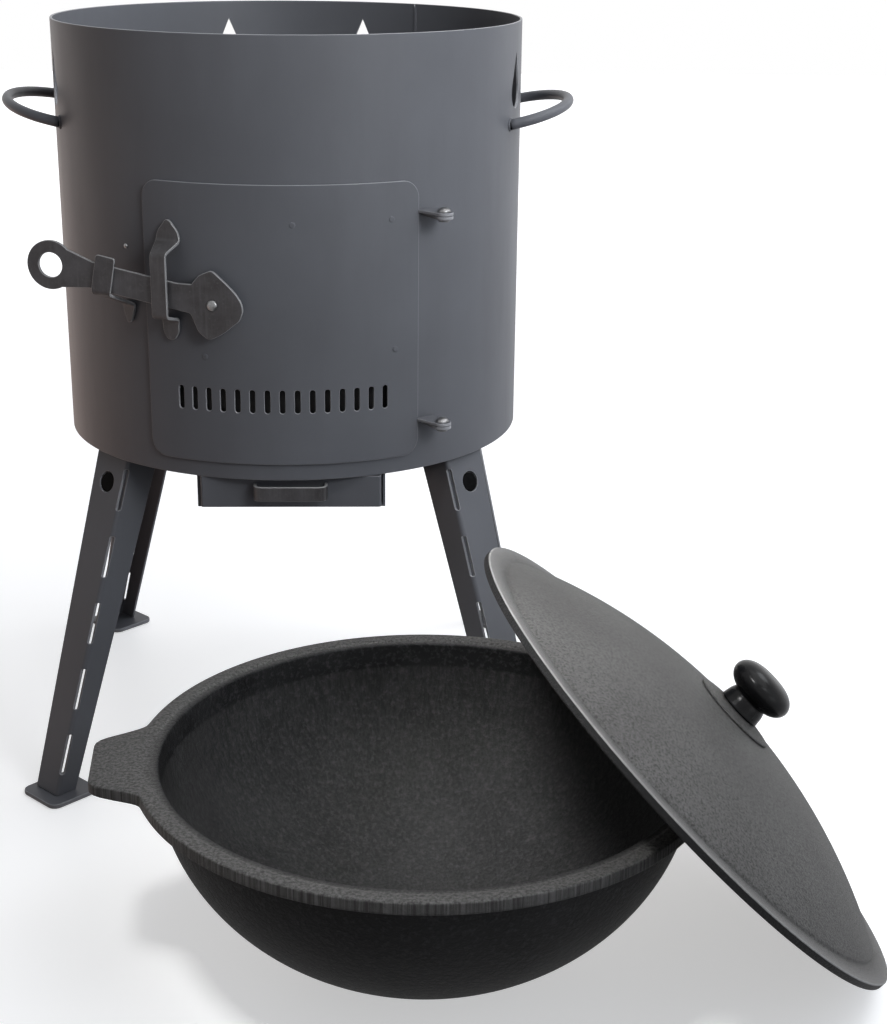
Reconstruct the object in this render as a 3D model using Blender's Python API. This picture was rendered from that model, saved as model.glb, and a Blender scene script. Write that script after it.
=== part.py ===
"""A portable fire stove for a round-bottomed cauldron, with its cauldron and lid.

The stove is a rolled sheet-steel drum on four folded legs. It has a hinged stoking door with a
swinging latch bar, an ash drawer and two side handles. The cast-iron cauldron stands on the floor
in front of it, and the lid leans on one of the cauldron's lugs. Metres, +Z up, front towards -Y.
"""
import math

import bmesh
import bpy
from mathutils import Matrix, Vector

# Drum
DRUM_RADIUS = 0.195
DRUM_HEIGHT = 0.3435
DRUM_BOTTOM = 0.281
SHEET = 0.002
GAP = 0.0003
OVERRUN = 0.004

# Flame vents below the rim
VENT_WIDTH = 0.026
VENT_HEIGHT = 0.045
SIDE_VENTS = (-74.0, 74.0)
SIDE_VENT_DROP = 0.023
BACK_VENTS = (-160.5, 162.0)
BACK_VENT_DROP = 0.0155
VENT_ARC_START = 160.0
VENT_ARC_END = 380.0

# Door and the opening behind it
DOOR_HALF_ANGLE = 32.7
DOOR_BOTTOM = 0.2945
DOOR_TOP = 0.515
DOOR_CORNER = 0.014
DOOR_LAP = 0.008
SHIELD_SHEET = 0.0015
SHIELD_STANDOFF = 0.0095
SHIELD_INSET = 0.004
SHIELD_RIVET_RADIUS = 0.0025
RIVET_HEAD_RISE = 0.0006
SHIELD_RIVET_SHARES = ((0.089, 0.863), (0.785, 0.870), (-0.541, 0.389), (0.813, 0.405))
RIVET_COLLAR_SHARE = 1.8
RIVET_FACE_SHARE = 0.6
AIR_SLOT_COUNT = 15
AIR_SLOT_WIDTH = 0.0045
AIR_SLOT_HEIGHT = 0.019
AIR_SLOT_HALF_SPREAD = 24.0
AIR_SLOT_INSET = 0.0515

# Door hinges
HINGE_AZIMUTH = 35.5
HINGE_STANDOFF = 0.0213
HINGE_LOWER_INSET = 0.0272
HINGE_UPPER_INSET = 0.0256
LUG_THICKNESS = 0.0025
LUG_HALF_WIDTH = 0.0072
LUG_ROOT_ANGLE = 1.8
LUG_SHOULDER_TURNS = (0.0, -8.0, -16.0)
LUG_TURN_START = -62.0
LUG_TURN_END = -244.0
DRUM_LUG_NEAR_HALF = 0.005
DRUM_LUG_FAR_HALF = 0.0135
PIN_FOOT_SHARE = 0.8
PIN_RADIUS = 0.0026
PIN_HEAD_RADIUS = 0.0053
PIN_HEAD_HEIGHT = 0.0034
HOLE_CLEARANCE = 0.0003

# Latch bar, its guide strap and its keeper
LATCH_AZIMUTH = -14.6
LATCH_HEIGHT = 0.4235
LATCH_STANDOFF = 0.010
BAR_THICKNESS = 0.003
BAR_HALF_HEIGHT = 0.0103
BAR_RISE_ANGLE = 10.5
RING_DISTANCE = 0.1338
RING_RADIUS = 0.0192
RING_HOLE_RADIUS = 0.0098
RING_NECK_ANGLE = 52.0
NECK_LENGTH = 0.034
HEAD_REACH = 0.0247
HEAD_TOP_SHARES = (
    (-0.769, 0.494),
    (-0.591, 0.822),
    (-0.202, 1.085),
    (0.324, 0.773),
    (0.648, 0.559),
    (0.899, 0.304),
    (1.0, 0.061),
)
HEAD_BOTTOM_SHARES = (
    (0.947, -0.275),
    (0.526, -0.769),
    (0.243, -1.012),
    (0.040, -1.121),
    (-0.316, -0.947),
    (-0.615, -0.470),
)
HEAD_LOWER_ROOT_SHARE = -0.696
HEAD_UPPER_ROOT_SHARE = -1.231
PIVOT_RADIUS = 0.003
PIVOT_HEAD_RADIUS = 0.0042
PIVOT_HEAD_HEIGHT = 0.0014
PIVOT_COLLAR_SHARE = 1.25
PIVOT_CROWN_SHARES = (0.85, 0.7)
GUIDE_AZIMUTH = -25.0
GUIDE_STANDOFF = 0.0185
GUIDE_FACE_TOP = 0.4615
GUIDE_FACE_BOTTOM = 0.4125
GUIDE_HALF_WIDTH = 0.0075
GUIDE_LEAF_SHARES = (0.25, 0.85)
GUIDE_TAIL_SHARES = (1.1, 1.0, 0.45)
GUIDE_SHOULDER_SHARES = (0.45, 0.6)
GUIDE_LEAF_HALF_WIDTH = 0.0105
GUIDE_LEAF_REACH = 0.0165
GUIDE_SLOPE_RISE = 0.008
STRAP_SHEET = 0.0025
KEEPER_SHIFT = 0.0893
KEEPER_HALF_WIDTH = 0.0079
KEEPER_LIP_ABOVE_BAR = 0.0075
KEEPER_WEB_DROP = 0.013
KEEPER_LEAF_REACH = 0.015
KEEPER_SHOULDER_SHARE = 0.6
KEEPER_TIP_SHARE = 0.5

# Side handles
HANDLE_ROD_RADIUS = 0.0043
HANDLE_HALF_WIDTH = 0.077
HANDLE_SETBACK = 0.008
HANDLE_ARCH_START = 0.191
HANDLE_ARCH_REACH = 0.0455
HANDLE_ARCH_STEPS = 16
HANDLE_HEIGHT = 0.5465
HANDLE_TIP_RISE = 0.011

# Hearth, grate, ash drawer and its housing
HEARTH_RISE = 0.0105
HEARTH_SHEET = 0.003
HEARTH_HOLE_HALF_X = 0.060
HEARTH_HOLE_HALF_Y = 0.085
GRATE_THICKNESS = 0.004
GRATE_LAP = 0.012
GRATE_BAR_COUNT = 9
GRATE_SLOT_WIDTH = 0.007
GRATE_BORDER = 0.014
DRAWER_HALF_WIDTH = 0.0725
DRAWER_BOTTOM = 0.2545
DRAWER_CENTRE = 0.0045
DRAWER_FRONT = -0.183
DRAWER_BACK = 0.098
DRAWER_SHEET = 0.0015
HOUSING_SHEET = 0.002
HOUSING_PLAY = 0.0012
HOUSING_SETBACK = 0.0088
PULL_HALF_WIDTH = 0.0295
PULL_HEIGHT = 0.0118
PULL_REACH = 0.0145
PULL_CORNER = 0.007
PULL_HEIGHT_ABOVE_BOTTOM = 0.0095

# Legs, made of sheet folded to an angle, and their feet
LEG_TOP_RADIUS = 0.188
LEG_FOOT_RADIUS = 0.2825
LEG_AZIMUTH = 44.0
LEG_SHEET = 0.0025
LEG_TOP_GAP = 0.0004
OUTER_FLANGE_TOP = 0.041
OUTER_FLANGE_FOOT = 0.029
INNER_FLANGE_TOP = 0.0315
INNER_FLANGE_FOOT = 0.0195
LEG_SLOT_COUNT = 5
LEG_SLOT_LENGTH = 0.035
LEG_SLOT_WIDTH = 0.0028
LEG_SLOT_FIRST = 0.0105
LEG_SLOT_PITCH = 0.0570
LEG_HOLE_RADIUS = 0.0088
LEG_HOLE_DROP = 0.0238
LEG_HOLE_SHARE = 0.53
FLANGE_AZIMUTH = 45.0
BRACKET_SHEET = 0.003
BRACKET_LENGTH = 0.058
BRACKET_OUTER_FLANGE = 0.033
BRACKET_INNER_FLANGE = 0.022
STUD_RADIUS = 0.0079
STUD_RISE = 0.0018
FOOT_THICKNESS = 0.004
FOOT_HALF_SIDE = 0.0235
FOOT_CORNER = 0.008
FOOT_TOE = 0.012

# Cauldron
CAULDRON_X = 0.108
CAULDRON_Y = -0.425
FLANGE_RADIUS = 0.202
FLANGE_THICKNESS = 0.009
MOUTH_RADIUS = 0.1845
BOWL_RADIUS = 0.188
BOWL_DEPTH = 0.160
BOWL_WALL = 0.004
FLOOR_GAP = 0.0003
BOWL_FLAT_RADIUS = 0.026
CAULDRON_LUG_TIP = 0.2306
CAULDRON_LUG_HALF_ROOT = 0.056
CAULDRON_LUG_HALF_TIP = 0.033
CAULDRON_LUG_THICKNESS = 0.0085
CAULDRON_LUG_DROP = 0.0005
LUG_TIP_SHARE = 0.8
LUG_WAIST_SHARE = 0.85
LEAN_GAP = 0.0005

# Lid and knob
LID_LEAN = 45.0
LID_BEARING = 4.0
LID_FLANGE_THICKNESS = 0.006
LID_FLANGE_WIDTH = 0.018
LID_APEX = 0.051
LID_CAP_RADIUS = 0.415
LID_WALL = 0.004
KNOB_PLATE_RADIUS = 0.032
KNOB_PLATE_RISE = 0.003
KNOB_NECK_RADIUS = 0.0165
KNOB_RADIUS = 0.0245
KNOB_HEIGHT = 0.034
KNOB_NECK_HEIGHT = 0.010
KNOB_TURN_START = -64.0
KNOB_STEPS = 7
KNOB_FULLNESS = 0.7
KNOB_WAIST_SHARES = (0.92, 0.8)
SCREW_RADIUS = 0.003
SCREW_HEAD_RADIUS = 0.0062
SCREW_HEAD_HEIGHT = 0.0038
SCREW_CROWN_SHARE = 0.8
SCREW_EDGE_SHARE = 0.6
SCREW_REACH = 0.018
WASHER_RADIUS = 0.009
WASHER_THICKNESS = 0.0015

# Facets
DRUM_FACETS = 96
CAST_FACETS = 48
BOWL_STEPS = 10
DOME_STEPS = 7
KNOB_FACETS = 32
PIN_FACETS = 16
ROD_FACETS = 10
LUG_STEPS = 10
VENT_STEPS = 12
RING_STEPS = 20
BEND_STEPS = 4
SLOT_CORNER_STEPS = 3
SLOT_END_SHARE = 0.45
DOOR_COLUMNS = 30
SHIELD_COLUMNS = 24
HALVINGS = 60
SMOOTH_UNDER_ANGLE = 30.0

DRUM_TOP = DRUM_BOTTOM + DRUM_HEIGHT
DRUM_INNER = DRUM_RADIUS - SHEET
DOOR_INNER = DRUM_RADIUS + GAP
DOOR_OUTER = DOOR_INNER + SHEET
HEARTH_UNDERSIDE = DRUM_BOTTOM + HEARTH_RISE
HEARTH_TOP = HEARTH_UNDERSIDE + HEARTH_SHEET
LATCH_RADIUS = DRUM_RADIUS + LATCH_STANDOFF
HINGE_RADIUS = DRUM_RADIUS + HINGE_STANDOFF


MATERIALS = {
    "drum_paint": ((0.085, 0.086, 0.092), 0.45, 0.6),
    "latch_steel": ((0.13, 0.125, 0.12), 0.4, 0.7),
    "bare_steel": ((0.42, 0.42, 0.43), 0.35, 0.9),
    "soot_steel": ((0.035, 0.034, 0.034), 0.7, 0.4),
    "cast_iron": ((0.03, 0.03, 0.031), 0.6, 0.5),
    "lid_iron": ((0.11, 0.11, 0.112), 0.55, 0.5),
    "knob_black": ((0.012, 0.012, 0.013), 0.3, 0.0),
}


def material(name):
    """The named finish as a Principled BSDF, made once."""
    found = bpy.data.materials.get(name)
    if found:
        return found
    colour, roughness, metallic = MATERIALS[name]
    made = bpy.data.materials.new(name)
    made.use_nodes = True
    shader = made.node_tree.nodes["Principled BSDF"]
    shader.inputs["Base Color"].default_value = (*colour, 1.0)
    shader.inputs["Roughness"].default_value = roughness
    shader.inputs["Metallic"].default_value = metallic
    return made


def clear_scene():
    """Removes the scene's objects."""
    for thing in list(bpy.data.objects):
        bpy.data.objects.remove(thing, do_unlink=True)


def carrier(name, point, parent=None):
    """An empty that carries the pieces of one body. It stands on the body's joint axis."""
    empty = bpy.data.objects.new(name, None)
    bpy.context.scene.collection.objects.link(empty)
    empty.location = point
    if parent:
        ride(empty, parent)
    bpy.context.view_layer.update()
    return empty


def ride(thing, parent):
    """Parents an object to a carrier and leaves it where it is."""
    thing.parent = parent
    thing.matrix_parent_inverse = parent.matrix_world.inverted()


def place(name, mesh, finish, body, frame=None, smooth=True):
    """Puts a mesh in the scene as a named piece of a body, placed by a frame matrix."""
    piece = bpy.data.objects.new(name, mesh)
    bpy.context.scene.collection.objects.link(piece)
    ride(piece, bpy.data.objects[body])
    piece.data.materials.clear()
    piece.data.materials.append(material(finish))
    if smooth:
        piece.data.shade_smooth()
        piece.data.set_sharp_from_angle(angle=math.radians(SMOOTH_UNDER_ANGLE))
    if frame is not None:
        piece.matrix_basis = frame
    return piece


def guide_shape(mesh, frame=None):
    """A cutter or an added lump, which the build leaves out."""
    shape = bpy.data.objects.new("guide_shape", mesh)
    bpy.context.scene.collection.objects.link(shape)
    ride(shape, bpy.data.objects["set_root"])
    shape.hide_render = True
    shape.display_type = "WIRE"
    if frame is not None:
        shape.matrix_basis = frame
    return shape


def combine(piece, shape, operation="DIFFERENCE"):
    """Adds a Boolean of the shape to the piece."""
    step = piece.modifiers.new(operation.lower(), "BOOLEAN")
    step.operation = operation
    step.solver = "EXACT"
    step.object = shape


def finished(builder):
    """A mesh from a bmesh, with its doubles merged and its faces pointing out."""
    bmesh.ops.remove_doubles(builder, verts=builder.verts, dist=1e-6)
    bmesh.ops.recalc_face_normals(builder, faces=builder.faces)
    mesh = bpy.data.meshes.new("solid")
    builder.to_mesh(mesh)
    builder.free()
    return mesh


def turned(profile, facets):
    """Turns a profile of (radius, height) points about Z. Points on the axis close the solid."""
    builder = bmesh.new()
    rings = []
    for radius, height in profile:
        if radius == 0:
            rings.append([builder.verts.new((0.0, 0.0, height))])
            continue
        ring = []
        for step in range(facets):
            turn = math.tau * step / facets
            ring.append(builder.verts.new((radius * math.cos(turn), radius * math.sin(turn), height)))
        rings.append(ring)
    closed = profile[0][0] != 0
    pairs = list(zip(rings, rings[1:]))
    if closed:
        pairs.append((rings[-1], rings[0]))
    for lower, upper in pairs:
        if len(lower) == len(upper) == 1:
            continue
        for step in range(facets):
            after = (step + 1) % facets
            corners = []
            corners.append(lower[step % len(lower)])
            if len(lower) > 1:
                corners.append(lower[after])
            if len(upper) > 1:
                corners.append(upper[after])
            corners.append(upper[step % len(upper)])
            builder.faces.new(corners)
    return finished(builder)


def prism(outline, low, high):
    """Extrudes an outline of (x, y) points along Z, from low to high."""
    builder = bmesh.new()
    bottom = [builder.verts.new((x, y, low)) for x, y in outline]
    top = [builder.verts.new((x, y, high)) for x, y in outline]
    builder.faces.new(list(reversed(bottom)))
    builder.faces.new(top)
    for index in range(len(outline)):
        after = (index + 1) % len(outline)
        builder.faces.new((bottom[index], bottom[after], top[after], top[index]))
    return finished(builder)


def lofted(sections):
    """Joins closed sections, each a list of points in space, and caps both ends."""
    builder = bmesh.new()
    rings = [[builder.verts.new(point) for point in section] for section in sections]
    for lower, upper in zip(rings, rings[1:]):
        for index in range(len(lower)):
            after = (index + 1) % len(lower)
            builder.faces.new((lower[index], lower[after], upper[after], upper[index]))
    builder.faces.new(list(reversed(rings[0])))
    builder.faces.new(rings[-1])
    return finished(builder)


def box_mesh(low, high):
    """A box between two corners."""
    outline = [(low[0], low[1]), (high[0], low[1]), (high[0], high[1]), (low[0], high[1])]
    return prism(outline, low[2], high[2])


def arc(centre, radius, start, end, steps):
    """Points on an arc round a centre, from one angle to another, in degrees."""
    points = []
    for step in range(steps + 1):
        turn = math.radians(start + (end - start) * step / steps)
        points.append((centre[0] + radius * math.cos(turn), centre[1] + radius * math.sin(turn)))
    return points


def rounded_rectangle(half_x, half_y, corner, steps=4):
    """The outline of a rectangle with round corners, about the origin."""
    points = []
    for quarter, (side_x, side_y) in enumerate(((1, 1), (-1, 1), (-1, -1), (1, -1))):
        centre = (side_x * (half_x - corner), side_y * (half_y - corner))
        start = 90.0 * quarter
        points += arc(centre, corner, start, start + 90.0, steps)
    return points


def outward(azimuth):
    """The level direction away from the drum's axis. Azimuth 0 is the front, positive to the right."""
    turn = math.radians(azimuth)
    return Vector((math.sin(turn), -math.cos(turn), 0.0))


def sideways(azimuth):
    """The level direction along the drum's wall, to the right as seen from outside."""
    turn = math.radians(azimuth)
    return Vector((math.cos(turn), math.sin(turn), 0.0))


def wall_point(azimuth, radius, height):
    """A point at an azimuth, a distance from the drum's axis and a height."""
    point = outward(azimuth) * radius
    point.z = height
    return point


def wall_frame(azimuth, radius, height):
    """A frame on the drum's wall: X to the right, Y up, Z outward."""
    frame = Matrix.Identity(4)
    right = sideways(azimuth)
    out = outward(azimuth)
    origin = wall_point(azimuth, radius, height)
    for row in range(3):
        frame[row][0] = right[row]
        frame[row][1] = 1.0 if row == 2 else 0.0
        frame[row][2] = out[row]
        frame[row][3] = origin[row]
    return frame


def curved_sheet(half_angle, bottom, top, inner, outer, corner, steps):
    """A sheet bent to the drum, with round corners: columns of four points along its width."""
    corner_angle = math.degrees(corner / outer)
    columns = []
    for step in range(6):
        turn = math.radians(90.0 * step / 5)
        angle = half_angle - corner_angle * (1 - math.sin(turn))
        columns.append((angle, corner * (1 - math.cos(turn))))
    columns = list(reversed(columns))
    inner_half = half_angle - corner_angle
    for step in range(1, steps):
        columns.append((inner_half - 2 * inner_half * step / steps, 0.0))
    mirrored = [(-angle, trim) for angle, trim in columns[:6]]
    columns += list(reversed(mirrored))
    sections = []
    for angle, trim in columns:
        sections.append([
            wall_point(angle, outer, bottom + trim),
            wall_point(angle, outer, top - trim),
            wall_point(angle, inner, top - trim),
            wall_point(angle, inner, bottom + trim),
        ])
    return lofted(sections)


def vent_outline():
    """A plain drop: a round foot that draws in to a point on top."""
    foot = VENT_WIDTH / 2
    points = arc((0.0, foot), foot, VENT_ARC_START, VENT_ARC_END, VENT_STEPS)
    points.append((0.0, VENT_HEIGHT))
    return points


def make_drum():
    """The rolled drum, open at both ends, with its door opening and vents."""
    profile = [
        (DRUM_INNER, DRUM_BOTTOM),
        (DRUM_INNER, DRUM_TOP),
        (DRUM_RADIUS, DRUM_TOP),
        (DRUM_RADIUS, DRUM_BOTTOM),
    ]
    drum = place("drum_shell", turned(profile, DRUM_FACETS), "drum_paint", "stove_body")
    half_x = DRUM_RADIUS * math.sin(math.radians(DOOR_HALF_ANGLE)) - DOOR_LAP
    half_z = (DOOR_TOP - DOOR_BOTTOM) / 2 - DOOR_LAP
    middle = (DOOR_TOP + DOOR_BOTTOM) / 2
    opening = prism(rounded_rectangle(half_x, half_z, DOOR_CORNER), 0.0, DRUM_RADIUS)
    combine(drum, guide_shape(opening, wall_frame(0.0, OVERRUN, middle)))
    for azimuths, drop in ((SIDE_VENTS, SIDE_VENT_DROP), (BACK_VENTS, BACK_VENT_DROP)):
        for azimuth in azimuths:
            cutter = prism(vent_outline(), -DRUM_RADIUS / 2, OVERRUN)
            height = DRUM_TOP - drop - VENT_HEIGHT
            combine(drum, guide_shape(cutter, wall_frame(azimuth, DRUM_RADIUS, height)))


def make_hearth():
    """The hearth plate inside the drum's foot and the grate over its ash hole."""
    hearth_radius = DRUM_INNER - GAP
    profile = [(0.0, HEARTH_UNDERSIDE), (hearth_radius, HEARTH_UNDERSIDE)]
    profile += [(hearth_radius, HEARTH_TOP), (0.0, HEARTH_TOP)]
    hearth = place("hearth_plate", turned(profile, DRUM_FACETS), "soot_steel", "stove_body")
    hole = box_mesh(
        (-HEARTH_HOLE_HALF_X, -HEARTH_HOLE_HALF_Y, HEARTH_UNDERSIDE - OVERRUN),
        (HEARTH_HOLE_HALF_X, HEARTH_HOLE_HALF_Y, HEARTH_TOP + OVERRUN),
    )
    combine(hearth, guide_shape(hole))
    grate_x = HEARTH_HOLE_HALF_X + GRATE_LAP
    grate_y = HEARTH_HOLE_HALF_Y + GRATE_LAP
    low = HEARTH_TOP + GAP
    grate = place(
        "fire_grate",
        box_mesh((-grate_x, -grate_y, low), (grate_x, grate_y, low + GRATE_THICKNESS)),
        "soot_steel",
        "stove_body",
    )
    pitch = 2 * (grate_x - GRATE_BORDER) / GRATE_BAR_COUNT
    slot_end = grate_y - GRATE_BORDER
    for index in range(GRATE_BAR_COUNT):
        centre = -grate_x + GRATE_BORDER + pitch * (index + 0.5)
        slot = box_mesh(
            (centre - GRATE_SLOT_WIDTH / 2, -slot_end, low - OVERRUN),
            (centre + GRATE_SLOT_WIDTH / 2, slot_end, low + GRATE_THICKNESS + OVERRUN),
        )
        combine(grate, guide_shape(slot))


def make_drawer():
    """The ash drawer, its strap pull and the housing that it slides in."""
    top = DRUM_BOTTOM - GAP
    low = (DRAWER_CENTRE - DRAWER_HALF_WIDTH, DRAWER_FRONT, DRAWER_BOTTOM)
    high = (DRAWER_CENTRE + DRAWER_HALF_WIDTH, DRAWER_BACK, top)
    drawer = place("ash_drawer", box_mesh(low, high), "drum_paint", "drawer_body")
    inside = box_mesh(
        (low[0] + DRAWER_SHEET, low[1] + DRAWER_SHEET, low[2] + DRAWER_SHEET),
        (high[0] - DRAWER_SHEET, high[1] - DRAWER_SHEET, high[2] + OVERRUN),
    )
    combine(drawer, guide_shape(inside))

    inner = DRAWER_HALF_WIDTH + HOUSING_PLAY
    outer = inner + HOUSING_SHEET
    floor_top = DRAWER_BOTTOM - GAP
    back = DRAWER_BACK + HOUSING_PLAY
    housing = place(
        "drawer_housing",
        box_mesh(
            (DRAWER_CENTRE - outer, DRAWER_FRONT + HOUSING_SETBACK, floor_top - HOUSING_SHEET),
            (DRAWER_CENTRE + outer, back + HOUSING_SHEET, HEARTH_UNDERSIDE - GAP),
        ),
        "drum_paint",
        "stove_body",
    )
    tunnel = box_mesh(
        (DRAWER_CENTRE - inner, DRAWER_FRONT - OVERRUN, floor_top),
        (DRAWER_CENTRE + inner, back, HEARTH_UNDERSIDE + OVERRUN),
    )
    combine(housing, guide_shape(tunnel))

    base = DRAWER_FRONT - GAP
    face = base - PULL_REACH
    inner_width = PULL_HALF_WIDTH - STRAP_SHEET
    outer_line = [(PULL_HALF_WIDTH, base)]
    right_bend = (PULL_HALF_WIDTH - PULL_CORNER, face + PULL_CORNER)
    outer_line += arc(right_bend, PULL_CORNER, 0.0, -90.0, BEND_STEPS)
    left_bend = (PULL_CORNER - PULL_HALF_WIDTH, face + PULL_CORNER)
    outer_line += arc(left_bend, PULL_CORNER, -90.0, -180.0, BEND_STEPS)
    outer_line += [(-PULL_HALF_WIDTH, base)]
    inner_corner = PULL_CORNER - STRAP_SHEET
    inner_line = [(inner_width, base)]
    inner_line += arc(right_bend, inner_corner, 0.0, -90.0, BEND_STEPS)
    inner_line += arc(left_bend, inner_corner, -90.0, -180.0, BEND_STEPS)
    inner_line += [(-inner_width, base)]
    low_edge = DRAWER_BOTTOM + PULL_HEIGHT_ABOVE_BOTTOM
    pull = prism(outer_line + list(reversed(inner_line)), low_edge, low_edge + PULL_HEIGHT)
    place("drawer_pull", pull, "latch_steel", "drawer_body", Matrix.Translation((DRAWER_CENTRE, 0.0, 0.0)))


def rod_along(points, radius, facets):
    """A round rod along points in space. Each ring is square to the path there."""
    sections = []
    up = Vector((0.0, 0.0, 1.0))
    for index, point in enumerate(points):
        before = points[max(index - 1, 0)]
        after = points[min(index + 1, len(points) - 1)]
        along = (Vector(after) - Vector(before)).normalized()
        side = along.cross(up).normalized()
        over = side.cross(along)
        ring = []
        for step in range(facets):
            turn = math.tau * step / facets
            ring.append(Vector(point) + side * (radius * math.cos(turn)) + over * (radius * math.sin(turn)))
        sections.append(ring)
    return lofted(sections)


def make_side_handle(name, side):
    """A round-bar loop: two short arms and half an ellipse, cut to the drum's wall."""
    root = math.sqrt(DRUM_RADIUS ** 2 - (HANDLE_HALF_WIDTH + HANDLE_SETBACK) ** 2) - OVERRUN * 2
    plan = [(root, -HANDLE_HALF_WIDTH)]
    for step in range(HANDLE_ARCH_STEPS + 1):
        turn = math.radians(180.0 * step / HANDLE_ARCH_STEPS - 90.0)
        reach = HANDLE_ARCH_START + HANDLE_ARCH_REACH * math.cos(turn)
        plan.append((reach, HANDLE_HALF_WIDTH * math.sin(turn)))
    plan.append((root, HANDLE_HALF_WIDTH))
    points = []
    for x, y in plan:
        rise = HANDLE_TIP_RISE * (x - HANDLE_ARCH_START) / HANDLE_ARCH_REACH
        points.append((side * x, y + HANDLE_SETBACK, HANDLE_HEIGHT + rise))
    handle = place(name, rod_along(points, HANDLE_ROD_RADIUS, ROD_FACETS), "drum_paint", "stove_body")
    wall = [
        (0.0, HANDLE_HEIGHT - HANDLE_HALF_WIDTH),
        (DRUM_RADIUS + GAP, HANDLE_HEIGHT - HANDLE_HALF_WIDTH),
        (DRUM_RADIUS + GAP, HANDLE_HEIGHT + HANDLE_HALF_WIDTH),
        (0.0, HANDLE_HEIGHT + HANDLE_HALF_WIDTH),
    ]
    combine(handle, guide_shape(turned(wall, DRUM_FACETS)))


def drum_lug_outline():
    """The drum's hinge lug from above, its pin at the origin and its root along -X, clear of the door."""
    root_reach = HINGE_STANDOFF + OVERRUN
    points = [(-root_reach, -DRUM_LUG_NEAR_HALF)]
    points += arc((0.0, 0.0), LUG_HALF_WIDTH, -90.0, 90.0 + LUG_TURN_START / 2, LUG_STEPS)
    points += [(-root_reach, DRUM_LUG_FAR_HALF)]
    return points


def door_lug_outline():
    """The door's hinge lug from above: along the drum's wall, round the pin and back to the sheet.

    Past the pin its edge keeps one distance from the pin, so that it clears the wall as the door turns.
    """
    axis = hinge_axis()
    inner = DOOR_INNER + SHEET / 4
    start = DOOR_HALF_ANGLE - LUG_ROOT_ANGLE
    points = [wall_point(azimuth, inner, 0.0) for azimuth in (start, DOOR_HALF_ANGLE)]
    inward = -outward(HINGE_AZIMUTH)
    span = (LUG_TURN_END - LUG_TURN_START) / LUG_STEPS
    stops = [(turn, HINGE_RADIUS - inner) for turn in LUG_SHOULDER_TURNS]
    stops += [(LUG_TURN_START + span * step, LUG_HALF_WIDTH) for step in range(LUG_STEPS + 1)]
    for angle, reach in stops:
        turn = Matrix.Rotation(math.radians(angle), 3, "Z")
        points.append(axis + turn @ inward * reach)
    points.append(wall_point(start, DOOR_OUTER - SHEET / 4, 0.0))
    return [(point.x, point.y) for point in points]


def level_frame(origin, direction):
    """A level frame at a point, its X along a direction and its Z up."""
    frame = Matrix.Identity(4)
    left = Vector((-direction.y, direction.x, 0.0))
    for row in range(3):
        frame[row][0] = direction[row]
        frame[row][1] = left[row]
        frame[row][3] = origin[row]
    return frame


def hinge_axis():
    """The point on the floor below the hinge pins."""
    return wall_point(HINGE_AZIMUTH, HINGE_RADIUS, 0.0)


def hinge_pin_hole(height):
    """A cutter for a pin's hole through both lugs."""
    radius = PIN_RADIUS + HOLE_CLEARANCE
    reach = LUG_THICKNESS * 4
    low, high = height - reach, height + reach
    profile = [(0.0, low), (radius, low), (radius, high), (0.0, high)]
    return guide_shape(turned(profile, PIN_FACETS), Matrix.Translation(hinge_axis()))


def shield_rivet_places():
    """The azimuth and height of each rivet that holds the heat shield."""
    span = DOOR_TOP - DOOR_BOTTOM
    return [(DOOR_HALF_ANGLE * turn, DOOR_BOTTOM + span * rise) for turn, rise in SHIELD_RIVET_SHARES]


def hinge_heights():
    """The hinges' names and heights, measured from the door's bottom and top edges."""
    return (("lower", DOOR_BOTTOM + HINGE_LOWER_INSET), ("upper", DOOR_TOP - HINGE_UPPER_INSET))


def make_door():
    """The door: a bent sheet with air slots and two hinge lugs folded out of its right edge."""
    sheet = curved_sheet(
        DOOR_HALF_ANGLE, DOOR_BOTTOM, DOOR_TOP, DOOR_INNER, DOOR_OUTER, DOOR_CORNER, DOOR_COLUMNS
    )
    door = place("door_panel", sheet, "drum_paint", "door_body")
    for _, height in hinge_heights():
        lug = prism(door_lug_outline(), height, height + LUG_THICKNESS)
        combine(door, guide_shape(lug), "UNION")
        combine(door, hinge_pin_hole(height))
    pivot_hole = [
        (0.0, -OVERRUN),
        (PIVOT_RADIUS + HOLE_CLEARANCE, -OVERRUN),
        (PIVOT_RADIUS + HOLE_CLEARANCE, OVERRUN),
        (0.0, OVERRUN),
    ]
    pivot_frame = wall_frame(LATCH_AZIMUTH, DOOR_OUTER, LATCH_HEIGHT)
    combine(door, guide_shape(turned(pivot_hole, PIN_FACETS), pivot_frame))
    for azimuth, height in shield_rivet_places():
        radius = SHIELD_RIVET_RADIUS + HOLE_CLEARANCE
        hole = turned([(0.0, -OVERRUN), (radius, -OVERRUN), (radius, OVERRUN), (0.0, OVERRUN)], ROD_FACETS)
        combine(door, guide_shape(hole, wall_frame(azimuth, DOOR_OUTER, height)))
    for index in range(AIR_SLOT_COUNT):
        share = 2 * index / (AIR_SLOT_COUNT - 1) - 1
        corner = AIR_SLOT_WIDTH * SLOT_END_SHARE
        outline = rounded_rectangle(AIR_SLOT_WIDTH / 2, AIR_SLOT_HEIGHT / 2, corner, SLOT_CORNER_STEPS)
        slot = prism(outline, -OVERRUN, OVERRUN)
        frame = wall_frame(AIR_SLOT_HALF_SPREAD * share, DOOR_OUTER, DOOR_BOTTOM + AIR_SLOT_INSET)
        combine(door, guide_shape(slot, frame))


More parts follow.
